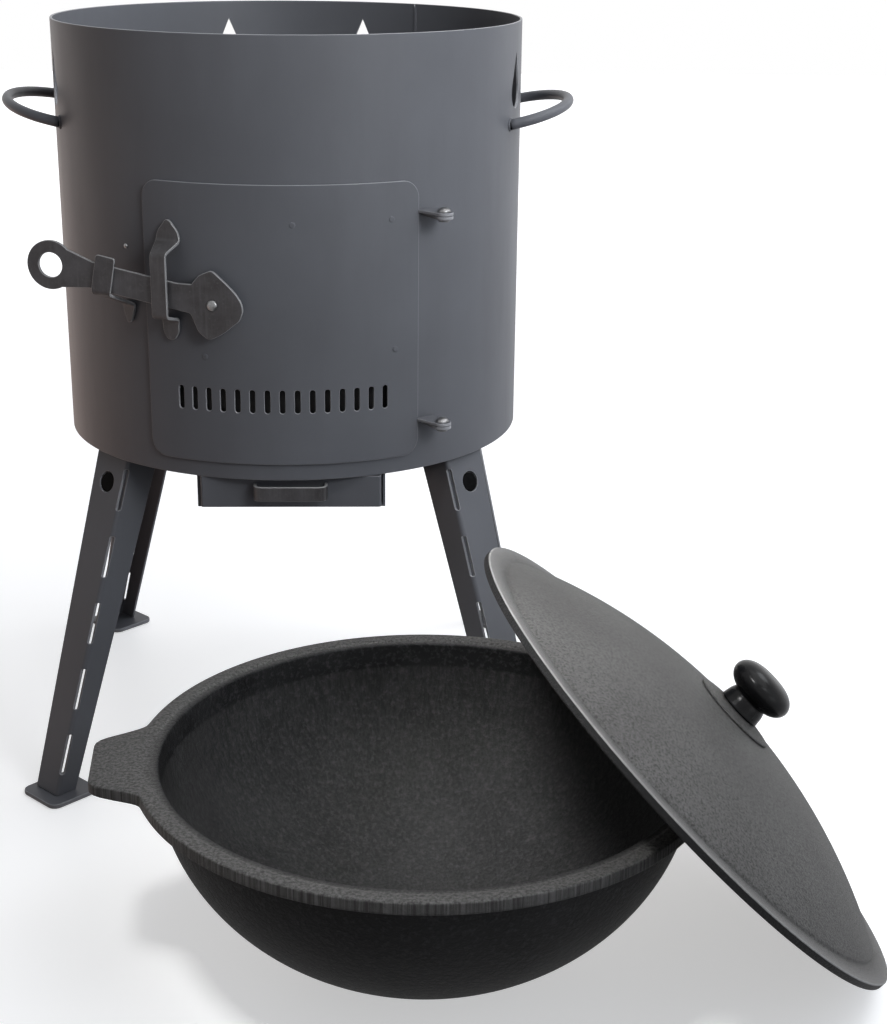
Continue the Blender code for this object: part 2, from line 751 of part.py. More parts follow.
def make_door_shield():
    """The heat shield behind the door, and the rivets that hold it off."""
    inset = math.degrees(SHIELD_INSET / DRUM_RADIUS)
    half_x = DRUM_RADIUS * math.sin(math.radians(DOOR_HALF_ANGLE)) - DOOR_LAP
    half_angle = math.degrees(math.asin(half_x / DRUM_RADIUS)) - inset
    outer = DOOR_INNER - SHIELD_STANDOFF
    inner = outer - SHIELD_SHEET
    low = DOOR_BOTTOM + DOOR_LAP + SHIELD_INSET
    high = DOOR_TOP - DOOR_LAP - SHIELD_INSET
    sheet = curved_sheet(half_angle, low, high, inner, outer, SHIELD_INSET, SHIELD_COLUMNS)
    shield = place("door_heat_shield", sheet, "soot_steel", "door_body")
    for index, (azimuth, height) in enumerate(shield_rivet_places()):
        drill = SHIELD_RIVET_RADIUS + HOLE_CLEARANCE
        hole = turned([(0.0, -OVERRUN), (drill, -OVERRUN), (drill, OVERRUN), (0.0, OVERRUN)], ROD_FACETS)
        combine(shield, guide_shape(hole, wall_frame(azimuth, inner, height)))
        shank = SHIELD_RIVET_RADIUS
        collar = SHIELD_RIVET_RADIUS * RIVET_COLLAR_SHARE
        inside = -(DOOR_OUTER - inner) - GAP
        profile = [
            (0.0, inside - RIVET_HEAD_RISE),
            (collar, inside - RIVET_HEAD_RISE),
            (collar, inside),
            (shank, inside),
            (shank, -(DOOR_OUTER - outer) + GAP),
            (collar, -(DOOR_OUTER - outer) + GAP),
            (collar, -SHEET - 2 * GAP),
            (shank, -SHEET - 2 * GAP),
            (shank, RIVET_HEAD_RISE / 2),
            (shank * RIVET_FACE_SHARE, RIVET_HEAD_RISE),
            (0.0, RIVET_HEAD_RISE),
        ]
        frame = wall_frame(azimuth, DOOR_OUTER, height)
        name = "shield_rivet_%d" % (index + 1)
        place(name, turned(profile, PIN_FACETS), "latch_steel", "door_body", frame)


def make_hinges():
    """The drum's hinge lugs below the door's, and a riveted pin through each pair."""
    axis = hinge_axis()
    out = outward(HINGE_AZIMUTH)
    for name, height in hinge_heights():
        top = height - GAP
        bottom = top - LUG_THICKNESS
        sheet = prism(drum_lug_outline(), bottom, top)
        lug = place("hinge_lug_" + name, sheet, "drum_paint", "stove_body", level_frame(axis, out))
        wall = DRUM_RADIUS + GAP
        low, high = bottom - OVERRUN, top + OVERRUN
        body = [(0.0, low), (wall, low), (wall, high), (0.0, high)]
        combine(lug, guide_shape(turned(body, DRUM_FACETS)))
        combine(lug, hinge_pin_hole(height))
        head_base = height + LUG_THICKNESS + GAP
        foot_top = bottom - GAP
        end = foot_top - PIN_HEAD_HEIGHT / 2
        profile = [(0.0, end), (PIN_HEAD_RADIUS * PIN_FOOT_SHARE, end)]
        profile += [(PIN_HEAD_RADIUS, foot_top), (PIN_RADIUS, foot_top), (PIN_RADIUS, head_base)]
        for step in range(6):
            turn = math.radians(90.0 * step / 6)
            profile.append((PIN_HEAD_RADIUS * math.cos(turn), head_base + PIN_HEAD_HEIGHT * math.sin(turn)))
        profile.append((0.0, head_base + PIN_HEAD_HEIGHT))
        pin = turned(profile, PIN_FACETS)
        place("hinge_pin_" + name, pin, "latch_steel", "stove_body", Matrix.Translation(axis))


def bar_outline():
    """The latch bar flat, its pivot at the origin and its ring along -X.

    The head is a leaf with one point above and one below. The shank runs to a neck that widens
    into the ring.
    """
    points = [(HEAD_REACH * x, HEAD_REACH * y) for x, y in HEAD_TOP_SHARES + HEAD_BOTTOM_SHARES]
    points.append((HEAD_REACH * HEAD_LOWER_ROOT_SHARE, -BAR_HALF_HEIGHT))
    points.append((NECK_LENGTH - RING_DISTANCE, -BAR_HALF_HEIGHT))
    points += arc((-RING_DISTANCE, 0.0), RING_RADIUS, -RING_NECK_ANGLE, RING_NECK_ANGLE - 360.0, RING_STEPS)
    points.append((NECK_LENGTH - RING_DISTANCE, BAR_HALF_HEIGHT))
    points.append((HEAD_REACH * HEAD_UPPER_ROOT_SHARE, BAR_HALF_HEIGHT))
    return points


def latch_frame():
    """The latch bar's frame: Z outward through the pivot, X along the bar away from the ring."""
    rise = Matrix.Rotation(math.radians(-BAR_RISE_ANGLE), 4, "Z")
    return wall_frame(LATCH_AZIMUTH, LATCH_RADIUS, LATCH_HEIGHT) @ rise


def make_latch():
    """The latch bar with its ring, and the rivet that it turns on."""
    plate = prism(bar_outline(), -BAR_THICKNESS / 2, BAR_THICKNESS / 2)
    bar = place("latch_bar", plate, "latch_steel", "latch_body", latch_frame())
    reach = BAR_THICKNESS / 2 + OVERRUN
    ring_hole = turned(
        [(0.0, -reach), (RING_HOLE_RADIUS, -reach), (RING_HOLE_RADIUS, reach), (0.0, reach)], PIN_FACETS * 2
    )
    combine(bar, guide_shape(ring_hole, latch_frame() @ Matrix.Translation((-RING_DISTANCE, 0.0, 0.0))))
    drill = PIVOT_RADIUS + HOLE_CLEARANCE
    pivot_hole = turned([(0.0, -reach), (drill, -reach), (drill, reach), (0.0, reach)], PIN_FACETS)
    combine(bar, guide_shape(pivot_hole, latch_frame()))

    front = BAR_THICKNESS / 2 + GAP
    behind = -BAR_THICKNESS / 2 - GAP
    door_face = DOOR_OUTER + GAP - LATCH_RADIUS
    door_back = DOOR_INNER - GAP - LATCH_RADIUS
    collar = PIVOT_HEAD_RADIUS * PIVOT_COLLAR_SHARE
    crown_radius, crown_rise = PIVOT_CROWN_SHARES
    profile = [
        (0.0, door_back - PIVOT_HEAD_HEIGHT),
        (PIVOT_HEAD_RADIUS, door_back - PIVOT_HEAD_HEIGHT),
        (PIVOT_HEAD_RADIUS, door_back - GAP),
        (PIVOT_RADIUS, door_back - GAP),
        (PIVOT_RADIUS, door_face + GAP),
        (collar, door_face + GAP),
        (collar, behind),
        (PIVOT_RADIUS, behind),
        (PIVOT_RADIUS, front),
        (PIVOT_HEAD_RADIUS, front),
        (PIVOT_HEAD_RADIUS * crown_radius, front + PIVOT_HEAD_HEIGHT * crown_rise),
        (0.0, front + PIVOT_HEAD_HEIGHT),
    ]
    frame = wall_frame(LATCH_AZIMUTH, LATCH_RADIUS, LATCH_HEIGHT)
    place("latch_pivot", turned(profile, PIN_FACETS), "bare_steel", "door_body", frame)


def folded_strap(path, thickness):
    """A strap folded about level lines. Each stop on its path is the middle of its outer face there,
    half the strap across (a vector) and the way to its inner face."""
    sections = []
    for centre, across, inward in path:
        back = centre + inward * thickness
        sections.append([centre - across, centre + across, back + across, back - across])
    return lofted(sections)


def mitre(before, here, after, across):
    """The way to the inner face at a fold: the mean of both leaves' normals, stretched to fit."""
    normals = []
    for start, end in ((before, here), (here, after)):
        if (end - start).length > 0:
            normals.append(across.cross(end - start).normalized())
    mean = (normals[0] + normals[-1]).normalized()
    return mean / mean.dot(normals[0])


def mitred(centres, halves, rights):
    """The path of a folded strap from its stops' middles, half widths and directions across."""
    path = []
    for index, centre in enumerate(centres):
        before = centres[max(index - 1, 0)]
        after = centres[min(index + 1, len(centres) - 1)]
        across = rights[index] * halves[index]
        path.append((centre, across, mitre(before, centre, after, rights[index])))
    return path


def make_latch_guide():
    """The strap that stands off the door and holds the bar: two leaves, two bends, a face."""
    near = DOOR_OUTER + GAP + STRAP_SHEET
    far = DOOR_OUTER + GUIDE_STANDOFF
    leaf_top = GUIDE_FACE_TOP + GUIDE_SLOPE_RISE + GUIDE_LEAF_REACH
    leaf_bottom = GUIDE_FACE_BOTTOM - GUIDE_SLOPE_RISE / 2 - GUIDE_LEAF_REACH
    upper_shoulder, lower_shoulder = GUIDE_SHOULDER_SHARES
    path = [
        (near, leaf_top),
        (near, GUIDE_FACE_TOP + GUIDE_SLOPE_RISE + GUIDE_LEAF_REACH * upper_shoulder),
        (near, GUIDE_FACE_TOP + GUIDE_SLOPE_RISE),
        (far, GUIDE_FACE_TOP),
        (far, GUIDE_FACE_BOTTOM),
        (near, GUIDE_FACE_BOTTOM - GUIDE_SLOPE_RISE / 2),
        (near, GUIDE_FACE_BOTTOM - GUIDE_SLOPE_RISE / 2 - GUIDE_LEAF_REACH * lower_shoulder),
        (near, leaf_bottom),
    ]
    tip, shoulder = GUIDE_LEAF_SHARES
    halves = [
        GUIDE_HALF_WIDTH * tip,
        GUIDE_LEAF_HALF_WIDTH * shoulder,
        GUIDE_LEAF_HALF_WIDTH,
        GUIDE_HALF_WIDTH,
        GUIDE_HALF_WIDTH,
    ]
    halves += [GUIDE_HALF_WIDTH * share for share in GUIDE_TAIL_SHARES]
    centres = [wall_point(GUIDE_AZIMUTH, radius, height) for radius, height in path]
    strap = mitred(centres, halves, [sideways(GUIDE_AZIMUTH)] * len(centres))
    sheet = folded_strap(strap, STRAP_SHEET)
    guide = place("latch_guide", sheet, "latch_steel", "door_body", smooth=False)
    wall = DOOR_OUTER + GAP
    trim = turned(
        [(0.0, DOOR_BOTTOM), (wall, DOOR_BOTTOM), (wall, DOOR_TOP), (0.0, DOOR_TOP)], DRUM_FACETS * 2
    )
    combine(guide, guide_shape(trim))


def make_keeper():
    """The hook on the drum that the bar drops into: a lip before the bar, a sloping web, a leaf."""
    frame = latch_frame()
    right = frame.to_3x3() @ Vector((1.0, 0.0, 0.0))
    lip_face = BAR_THICKNESS / 2 + GAP + STRAP_SHEET
    lip_top = BAR_HALF_HEIGHT + KEEPER_LIP_ABOVE_BAR
    lip_foot = -BAR_HALF_HEIGHT - GAP - STRAP_SHEET
    top = frame @ Vector((-KEEPER_SHIFT, lip_top, lip_face))
    foot = frame @ Vector((-KEEPER_SHIFT, lip_foot, lip_face))
    azimuth = math.degrees(math.atan2(foot.x, -foot.y))
    near = DRUM_RADIUS + GAP + STRAP_SHEET
    web_end = foot.z - KEEPER_WEB_DROP
    centres = [
        top,
        foot,
        wall_point(azimuth, near, web_end),
        wall_point(azimuth, near, web_end - KEEPER_LEAF_REACH * KEEPER_SHOULDER_SHARE),
        wall_point(azimuth, near, web_end - KEEPER_LEAF_REACH),
    ]
    halves = [KEEPER_HALF_WIDTH] * (len(centres) - 1) + [KEEPER_HALF_WIDTH * KEEPER_TIP_SHARE]
    level = sideways(azimuth)
    path = mitred(centres, halves, [right, right, level, level, level])
    keeper = place("latch_keeper", folded_strap(path, STRAP_SHEET), "latch_steel", "stove_body", smooth=False)
    wall = DRUM_RADIUS + GAP
    trim = turned(
        [(0.0, DRUM_BOTTOM), (wall, DRUM_BOTTOM), (wall, DRUM_TOP), (0.0, DRUM_TOP)], DRUM_FACETS * 2
    )
    combine(keeper, guide_shape(trim))


def leg_bend(height, radius_shift=0.0):
    """The leg's outer fold line at a height, for the leg on the right in front."""
    top = DRUM_BOTTOM - LEG_TOP_GAP
    share = height / top
    radius = LEG_FOOT_RADIUS + (LEG_TOP_RADIUS - LEG_FOOT_RADIUS) * share - radius_shift
    return wall_point(LEG_AZIMUTH, radius, height)


def angle_section(corner, outer, inner, sheet):
    """A level cut of an angle: one flange along the wall, one towards the axis."""
    along = sideways(FLANGE_AZIMUTH)
    inwards = -outward(FLANGE_AZIMUTH)
    return [
        corner,
        corner + along * outer,
        corner + along * outer + inwards * sheet,
        corner + along * sheet + inwards * sheet,
        corner + along * sheet + inwards * inner,
        corner + inwards * inner,
    ]


def flipped(mesh, side_x, side_y):
    """The mesh mirrored to another corner of the stove, with its faces pointing out."""
    builder = bmesh.new()
    builder.from_mesh(mesh)
    for vertex in builder.verts:
        vertex.co.x *= side_x
        vertex.co.y *= side_y
    return finished(builder)


def leg_meshes():
    """The leg, foot plate, bracket and stud of the right-hand front corner, and the leg's and the
    bracket's cutters: the slots that lie over the bracket go through it too."""
    top = DRUM_BOTTOM - LEG_TOP_GAP
    bottom = FOOT_THICKNESS + GAP
    leg = lofted([
        angle_section(leg_bend(bottom), OUTER_FLANGE_FOOT, INNER_FLANGE_FOOT, LEG_SHEET),
        angle_section(leg_bend(top), OUTER_FLANGE_TOP, INNER_FLANGE_TOP, LEG_SHEET),
    ])
    along = (leg_bend(top) - leg_bend(bottom)).normalized()
    lean = along.z
    diagonal = (sideways(FLANGE_AZIMUTH) - outward(FLANGE_AZIMUTH)).normalized()
    cutters = []
    bracket_cutters = []
    bracket_reach = (LEG_SHEET + GAP + BRACKET_SHEET) * 2
    for index in range(LEG_SLOT_COUNT):
        drop = LEG_SLOT_FIRST + index * LEG_SLOT_PITCH + LEG_SLOT_LENGTH / 2
        middle = leg_bend(top - drop * lean)
        across = along.cross(diagonal).normalized()
        deep = across.cross(along).normalized()
        frame = Matrix.Identity(4)
        for row in range(3):
            frame[row][0] = across[row]
            frame[row][1] = along[row]
            frame[row][2] = deep[row]
            frame[row][3] = middle[row]
        corner = LEG_SLOT_WIDTH * SLOT_END_SHARE
        outline = rounded_rectangle(LEG_SLOT_WIDTH / 2, LEG_SLOT_LENGTH / 2, corner, SLOT_CORNER_STEPS)
        cutters.append((prism(outline, -OVERRUN, OVERRUN), frame))
        if drop + LEG_SLOT_LENGTH / 2 < BRACKET_LENGTH:
            bracket_cutters.append((prism(outline, -bracket_reach, bracket_reach), frame))
    hole_height = top - LEG_HOLE_DROP
    hole_centre = leg_bend(hole_height) + sideways(FLANGE_AZIMUTH) * (OUTER_FLANGE_TOP * LEG_HOLE_SHARE)
    tilt = math.atan2(LEG_FOOT_RADIUS - LEG_TOP_RADIUS, top)
    hole_frame = wall_frame(FLANGE_AZIMUTH, 0.0, 0.0) @ Matrix.Rotation(-tilt, 4, "X")
    hole_frame.translation = hole_centre
    hole = [(0.0, -LEG_SHEET - OVERRUN / 2), (LEG_HOLE_RADIUS, -LEG_SHEET - OVERRUN / 2)]
    hole += [(LEG_HOLE_RADIUS, OVERRUN), (0.0, OVERRUN)]
    cutters.append((turned(hole, PIN_FACETS), hole_frame))

    shift = LEG_SHEET + GAP
    step_in = sideways(FLANGE_AZIMUTH) * shift - outward(FLANGE_AZIMUTH) * shift
    bracket_top = HEARTH_UNDERSIDE - GAP
    bracket_bottom = top - BRACKET_LENGTH
    flanges = (BRACKET_OUTER_FLANGE, BRACKET_INNER_FLANGE, BRACKET_SHEET)
    bracket = lofted([
        angle_section(leg_bend(bracket_bottom) + step_in, *flanges),
        angle_section(leg_bend(bracket_top) + step_in, *flanges),
    ])
    stud_back = -LEG_SHEET * math.cos(tilt)
    stud_profile = [(0.0, stud_back), (STUD_RADIUS, stud_back), (STUD_RADIUS, -GAP * 2), (0.0, -GAP)]
    stud = turned(stud_profile, PIN_FACETS)

    inwards = sideways(FLANGE_AZIMUTH) - outward(FLANGE_AZIMUTH)
    foot_centre = leg_bend(bottom) + inwards * (FOOT_HALF_SIDE - FOOT_TOE)
    foot_centre.z = 0.0
    foot_frame = level_frame(foot_centre, sideways(FLANGE_AZIMUTH))
    outline = rounded_rectangle(FOOT_HALF_SIDE, FOOT_HALF_SIDE, FOOT_CORNER)
    foot = prism(outline, 0.0, FOOT_THICKNESS)
    foot.transform(foot_frame)
    stud.transform(hole_frame)
    return leg, cutters, bracket, bracket_cutters, stud, foot


def cut_at(piece, cutters, side_x, side_y):
    """Cuts framed cutters, mirrored to a corner of the stove, out of a piece."""
    for cutter, frame in cutters:
        placed = cutter.copy()
        placed.transform(frame)
        combine(piece, guide_shape(flipped(placed, side_x, side_y)))


def make_legs():
    """Four legs with their brackets, locking studs and foot plates, mirrored to the corners."""
    leg, cutters, bracket, bracket_cutters, stud, foot = leg_meshes()
    corners = (("front_right", 1, 1), ("front_left", -1, 1), ("back_right", 1, -1), ("back_left", -1, -1))
    for name, side_x, side_y in corners:
        piece = place("leg_" + name, flipped(leg, side_x, side_y), "drum_paint", "stove_body")
        cut_at(piece, cutters, side_x, side_y)
        piece = place("leg_bracket_" + name, flipped(bracket, side_x, side_y), "soot_steel", "stove_body")
        cut_at(piece, bracket_cutters, side_x, side_y)
        place("leg_stud_" + name, flipped(stud, side_x, side_y), "soot_steel", "stove_body")
        place("foot_plate_" + name, flipped(foot, side_x, side_y), "drum_paint", "stove_body")


def bowl_curve(radius, depth, top, steps, flat):
    """An elliptic bowl from its mouth down to its flat: height falls as the root of 1 - (r/R)^2."""
    points = []
    end = math.acos(flat / radius)
    for step in range(steps + 1):
        turn = end * step / steps
        points.append((radius * math.cos(turn), top - depth * math.sin(turn)))
    return points


def lean_offset():
    """Distance from the cauldron's axis to the lid's foot, so that the lid's hollow rests on a lug.

    In the lid's own frame a corner of the lug's tip has a distance along the lid, one across it and a
    height over the rim plane. The inner sphere's height there has to be that height and a small gap.
    Halving the interval finds the offset.
    """
    lean = math.radians(LID_LEAN)
    tip_radius = CAULDRON_LUG_TIP
    tip_height = lug_top()
    across = CAULDRON_LUG_HALF_TIP * LUG_TIP_SHARE

    def excess(offset):
        centre_x = offset - FLANGE_RADIUS * math.cos(lean)
        centre_z = FLANGE_RADIUS * math.sin(lean) + FLOOR_GAP
        shift_x = tip_radius - centre_x
        shift_z = tip_height - centre_z
        along = -shift_x * math.cos(lean) + shift_z * math.sin(lean)
        height = shift_x * math.sin(lean) + shift_z * math.cos(lean)
        inner = LID_CAP_RADIUS - LID_WALL
        sphere = LID_APEX - LID_CAP_RADIUS + math.sqrt(inner ** 2 - along ** 2 - across ** 2)
        return sphere - LEAN_GAP - height

    low = CAULDRON_LUG_TIP
    high = CAULDRON_LUG_TIP + FLANGE_RADIUS
    for _ in range(HALVINGS):
        middle = (low + high) / 2
        if excess(middle) > 0:
            high = middle
        else:
            low = middle
    return (low + high) / 2


def lug_top():
    """The height of the cauldron lugs' upper face."""
    return FLOOR_GAP + BOWL_DEPTH - CAULDRON_LUG_DROP


def make_cauldron():
    """The cast cauldron: an elliptic bowl with a flange, and two flat lugs."""
    top = FLOOR_GAP + BOWL_DEPTH
    outer = bowl_curve(BOWL_RADIUS, BOWL_DEPTH, top, BOWL_STEPS, BOWL_FLAT_RADIUS)
    outer = [(radius, max(height, FLOOR_GAP)) for radius, height in outer]
    outer[-1] = (BOWL_FLAT_RADIUS, FLOOR_GAP)
    outer = [point for point in outer if point[1] < top - FLANGE_THICKNESS]
    inner_depth = BOWL_DEPTH - BOWL_WALL
    inner = bowl_curve(MOUTH_RADIUS, inner_depth, top, BOWL_STEPS, 0.0)
    profile = [(0.0, FLOOR_GAP)]
    profile += list(reversed(outer))
    profile += [
        (BOWL_RADIUS, top - FLANGE_THICKNESS),
        (FLANGE_RADIUS, top - FLANGE_THICKNESS),
        (FLANGE_RADIUS, top),
    ]
    profile += inner[:-1]
    profile += [(0.0, top - inner_depth)]
    bearing = Matrix.Rotation(math.radians(LID_BEARING), 4, "Z")
    frame = Matrix.Translation((CAULDRON_X, CAULDRON_Y, 0.0)) @ bearing
    cauldron = place("cauldron", turned(profile, CAST_FACETS), "cast_iron", "cauldron_body", frame)
    root = (MOUTH_RADIUS + FLANGE_RADIUS) / 2
    for side in (1, -1):
        outline = [
            (root, -CAULDRON_LUG_HALF_ROOT),
            (FLANGE_RADIUS, -CAULDRON_LUG_HALF_ROOT * LUG_WAIST_SHARE),
            (CAULDRON_LUG_TIP - OVERRUN, -CAULDRON_LUG_HALF_TIP),
            (CAULDRON_LUG_TIP, -CAULDRON_LUG_HALF_TIP * LUG_TIP_SHARE),
            (CAULDRON_LUG_TIP, CAULDRON_LUG_HALF_TIP * LUG_TIP_SHARE),
            (CAULDRON_LUG_TIP - OVERRUN, CAULDRON_LUG_HALF_TIP),
            (FLANGE_RADIUS, CAULDRON_LUG_HALF_ROOT * LUG_WAIST_SHARE),
            (root, CAULDRON_LUG_HALF_ROOT),
        ]
        outline = [(side * x, side * y) for x, y in outline]
        lug = prism(outline, lug_top() - CAULDRON_LUG_THICKNESS, lug_top())
        combine(cauldron, guide_shape(lug, frame), "UNION")


def lid_frame():
    """The lid's frame: Z out of its top, its rim plane at Z = 0."""
    bearing = math.radians(LID_BEARING)
    lean = math.radians(LID_LEAN)
    offset = lean_offset() - FLANGE_RADIUS * math.cos(lean)
    centre_z = FLANGE_RADIUS * math.sin(lean) + FLOOR_GAP
    away = Vector((math.cos(bearing), math.sin(bearing), 0.0))
    origin = Vector((CAULDRON_X, CAULDRON_Y, centre_z)) + away * offset
    turn = Matrix.Rotation(bearing, 4, "Z") @ Matrix.Rotation(lean, 4, "Y")
    return Matrix.Translation(origin) @ turn


def cap_height(radius, cap_radius):
    """Height over the rim plane of a sphere whose top is under the lid's apex by its wall."""
    return LID_APEX - LID_CAP_RADIUS + math.sqrt(cap_radius ** 2 - radius ** 2)


def make_lid():
    """The lid: a flat flange and a shallow dome, then its knob on a plate, screw and washer."""
    frame = lid_frame()
    drill = SCREW_RADIUS + HOLE_CLEARANCE
    start = FLANGE_RADIUS - LID_FLANGE_WIDTH
    outer = []
    inner = [(start - LID_WALL, 0.0)]
    for step in range(DOME_STEPS + 1):
        radius = start + (drill - start) * step / DOME_STEPS
        outer.append((radius, cap_height(radius, LID_CAP_RADIUS)))
        if step > 0:
            inner.append((radius, cap_height(radius, LID_CAP_RADIUS - LID_WALL)))
    profile = [(FLANGE_RADIUS, 0.0), (FLANGE_RADIUS, LID_FLANGE_THICKNESS)]
    profile += outer + list(reversed(inner))
    place("lid", turned(profile, CAST_FACETS), "lid_iron", "lid_body", frame)

    plate_top = LID_APEX + KNOB_PLATE_RISE
    edge = cap_height(KNOB_PLATE_RADIUS, LID_CAP_RADIUS) + GAP
    plate = [
        (drill, cap_height(drill, LID_CAP_RADIUS) + GAP),
        (KNOB_PLATE_RADIUS / 2, cap_height(KNOB_PLATE_RADIUS / 2, LID_CAP_RADIUS) + GAP),
        (KNOB_PLATE_RADIUS, edge),
        (KNOB_PLATE_RADIUS, edge + KNOB_PLATE_RISE / 2),
        (KNOB_NECK_RADIUS, plate_top),
        (drill, plate_top),
    ]
    place("knob_plate", turned(plate, KNOB_FACETS), "lid_iron", "lid_body", frame)

    base = plate_top + GAP
    neck = base + KNOB_NECK_HEIGHT
    crown = base + KNOB_HEIGHT
    middle = (neck + crown) / 2
    half = (crown - neck) / 2
    waist_radius, waist_height = KNOB_WAIST_SHARES
    knob = [(drill, base), (KNOB_NECK_RADIUS, base)]
    knob += [(KNOB_NECK_RADIUS * waist_radius, base + KNOB_NECK_HEIGHT * waist_height)]
    for step in range(KNOB_STEPS):
        turn = math.radians(KNOB_TURN_START + (90.0 - KNOB_TURN_START) * step / KNOB_STEPS)
        knob.append((KNOB_RADIUS * math.cos(turn) ** KNOB_FULLNESS, middle + half * math.sin(turn)))
    knob += [(0.0, crown)]
    bore_top = LID_APEX + SCREW_REACH + GAP * 2
    knob += [(0.0, bore_top), (drill, bore_top)]
    place("lid_knob", turned(knob, KNOB_FACETS), "knob_black", "lid_body", frame)

    under = cap_height(WASHER_RADIUS, LID_CAP_RADIUS - LID_WALL) - GAP
    washer = [(drill, under - WASHER_THICKNESS), (WASHER_RADIUS, under - WASHER_THICKNESS)]
    washer += [(WASHER_RADIUS, under), (drill, under)]
    place("knob_washer", turned(washer, PIN_FACETS), "bare_steel", "lid_body", frame)
    seat = under - WASHER_THICKNESS - GAP
    screw = [
        (0.0, seat - SCREW_HEAD_HEIGHT),
        (SCREW_HEAD_RADIUS * SCREW_CROWN_SHARE, seat - SCREW_HEAD_HEIGHT),
        (SCREW_HEAD_RADIUS, seat - SCREW_HEAD_HEIGHT * SCREW_EDGE_SHARE),
        (SCREW_HEAD_RADIUS, seat),
        (SCREW_RADIUS, seat),
        (SCREW_RADIUS, LID_APEX + SCREW_REACH),
        (0.0, LID_APEX + SCREW_REACH),
    ]
    place("knob_screw", turned(screw, PIN_FACETS), "bare_steel", "lid_body", frame)


def centre_on_floor():
    """Moves the root so that the origin is under the middle of the whole set's box."""
    bpy.context.view_layer.update()
    graph = bpy.context.evaluated_depsgraph_get()
    points = []
    for piece in bpy.context.scene.objects:
        if piece.type == "MESH" and not piece.hide_render:
            shown = piece.evaluated_get(graph)
            points += [shown.matrix_world @ vertex.co for vertex in shown.data.vertices]
    across = [point.x for point in points]
    along = [point.y for point in points]
    root = bpy.data.objects["set_root"]
    root.location.x = -(min(across) + max(across)) / 2
    root.location.y = -(min(along) + max(along)) / 2
    bpy.context.view_layer.update()
    for name in CARRIERS:
        print(name, [round(value, 6) for value in bpy.data.objects[name].matrix_world.translation])


CARRIERS = ("stove_body", "door_body", "latch_body", "drawer_body", "cauldron_body", "lid_body")

clear_scene()
set_root = carrier("set_root", (0.0, 0.0, 0.0))
carrier("stove_body", (0.0, 0.0, 0.0), set_root)
door_body = carrier("door_body", hinge_axis(), set_root)
carrier("latch_body", latch_frame().translation, door_body)
carrier("drawer_body", (0.0, DRAWER_FRONT, DRAWER_BOTTOM), set_root)
cauldron_body = carrier("cauldron_body", (CAULDRON_X, CAULDRON_Y, 0.0), set_root)
carrier("lid_body", lid_frame().translation, cauldron_body)
make_drum()
make_hearth()
make_drawer()
make_side_handle("side_handle_right", 1)
make_side_handle("side_handle_left", -1)
make_door()
make_door_shield()
make_hinges()
make_latch()
make_latch_guide()
make_keeper()
make_legs()
make_cauldron()
make_lid()
centre_on_floor()
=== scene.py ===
"""The looks of the cauldron stove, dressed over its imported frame.

Lengths are in metres and angles in degrees. Places on the stove are given about the drum's axis: azimuth
0 is the front and grows to the viewer's right. A sheet-metal piece is drawn flat and spread over the wall,
fold or plane that carries it; a cast or turned piece is a profile carried round an axis.
"""

import math

import bpy
import numpy as np
from mathutils import Matrix, Vector
from mathutils.geometry import delaunay_2d_cdt


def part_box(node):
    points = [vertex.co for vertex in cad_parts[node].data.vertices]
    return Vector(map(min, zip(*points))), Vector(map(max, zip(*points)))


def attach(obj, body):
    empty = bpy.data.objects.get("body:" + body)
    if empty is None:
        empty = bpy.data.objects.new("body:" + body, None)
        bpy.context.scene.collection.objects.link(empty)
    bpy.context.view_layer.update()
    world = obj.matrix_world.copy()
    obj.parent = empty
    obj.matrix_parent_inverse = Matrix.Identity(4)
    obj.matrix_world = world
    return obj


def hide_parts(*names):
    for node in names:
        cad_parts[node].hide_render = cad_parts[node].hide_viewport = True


# The drum, its vents and its door's opening
DRUM_RADIUS = 0.195
SHEET = 0.002
SHEET_EDGE = 0.00045
DRUM_BOTTOM = 0.281
DRUM_TOP = 0.6245
SEAM_AZIMUTH = 146.0
SEAM_GAP = 0.0004
VENT_WIDTH = 0.026
VENT_HEIGHT = 0.045
VENT_TURNS = (160.0, 380.0)
VENT_STEPS = 28
VENT_PLACES = ((-74.0, 0.023), (74.0, 0.023), (-160.5, 0.0155), (162.0, 0.0155))
GAP = 0.0003

# The door
DOOR_HALF_ANGLE = 32.7
DOOR_BOTTOM = 0.2945
DOOR_TOP = 0.515
DOOR_CORNER = 0.014
DOOR_LAP = 0.008
AIR_SLOT_COUNT = 15
AIR_SLOT_WIDTH = 0.0045
AIR_SLOT_HEIGHT = 0.019
AIR_SLOT_HALF_SPREAD = 24.0
AIR_SLOT_INSET = 0.0515
SLOT_END_DIVISOR = 2.1
RIVET_RADIUS = 0.0020
RIVET_RISE = 0.0005
KEEPER_RIVET_AZIMUTH = -38.9
KEEPER_RIVET_HEIGHT = 0.4601
RIVET_PLACES = ((2.9, 0.4848), (25.67, 0.4864), (-17.7, 0.3803), (26.6, 0.3839))

# The hinges
HINGE_AZIMUTH = 35.5
HINGE_STANDOFF = 0.0213
HINGE_LOWER_INSET = 0.0272
HINGE_UPPER_INSET = 0.0256
LUG_SHEET = 0.0025
LUG_HALF_WIDTH = 0.0072
LUG_ROOT_ANGLE = 0.3
LUG_SHOULDER_TURN = -16.0
LUG_TURN_START = -62.0
LUG_TURN_END = -244.0
DRUM_LUG_NEAR_HALF = 0.005
DRUM_LUG_FAR_HALF = 0.0135
LUG_EDGE = 0.0005
PIN_RADIUS = 0.0026
PIN_HEAD_RADIUS = 0.0053
PIN_HEAD_HEIGHT = 0.0034
PIN_HEAD_SHARES = (0.97, 0.95, 0.8)

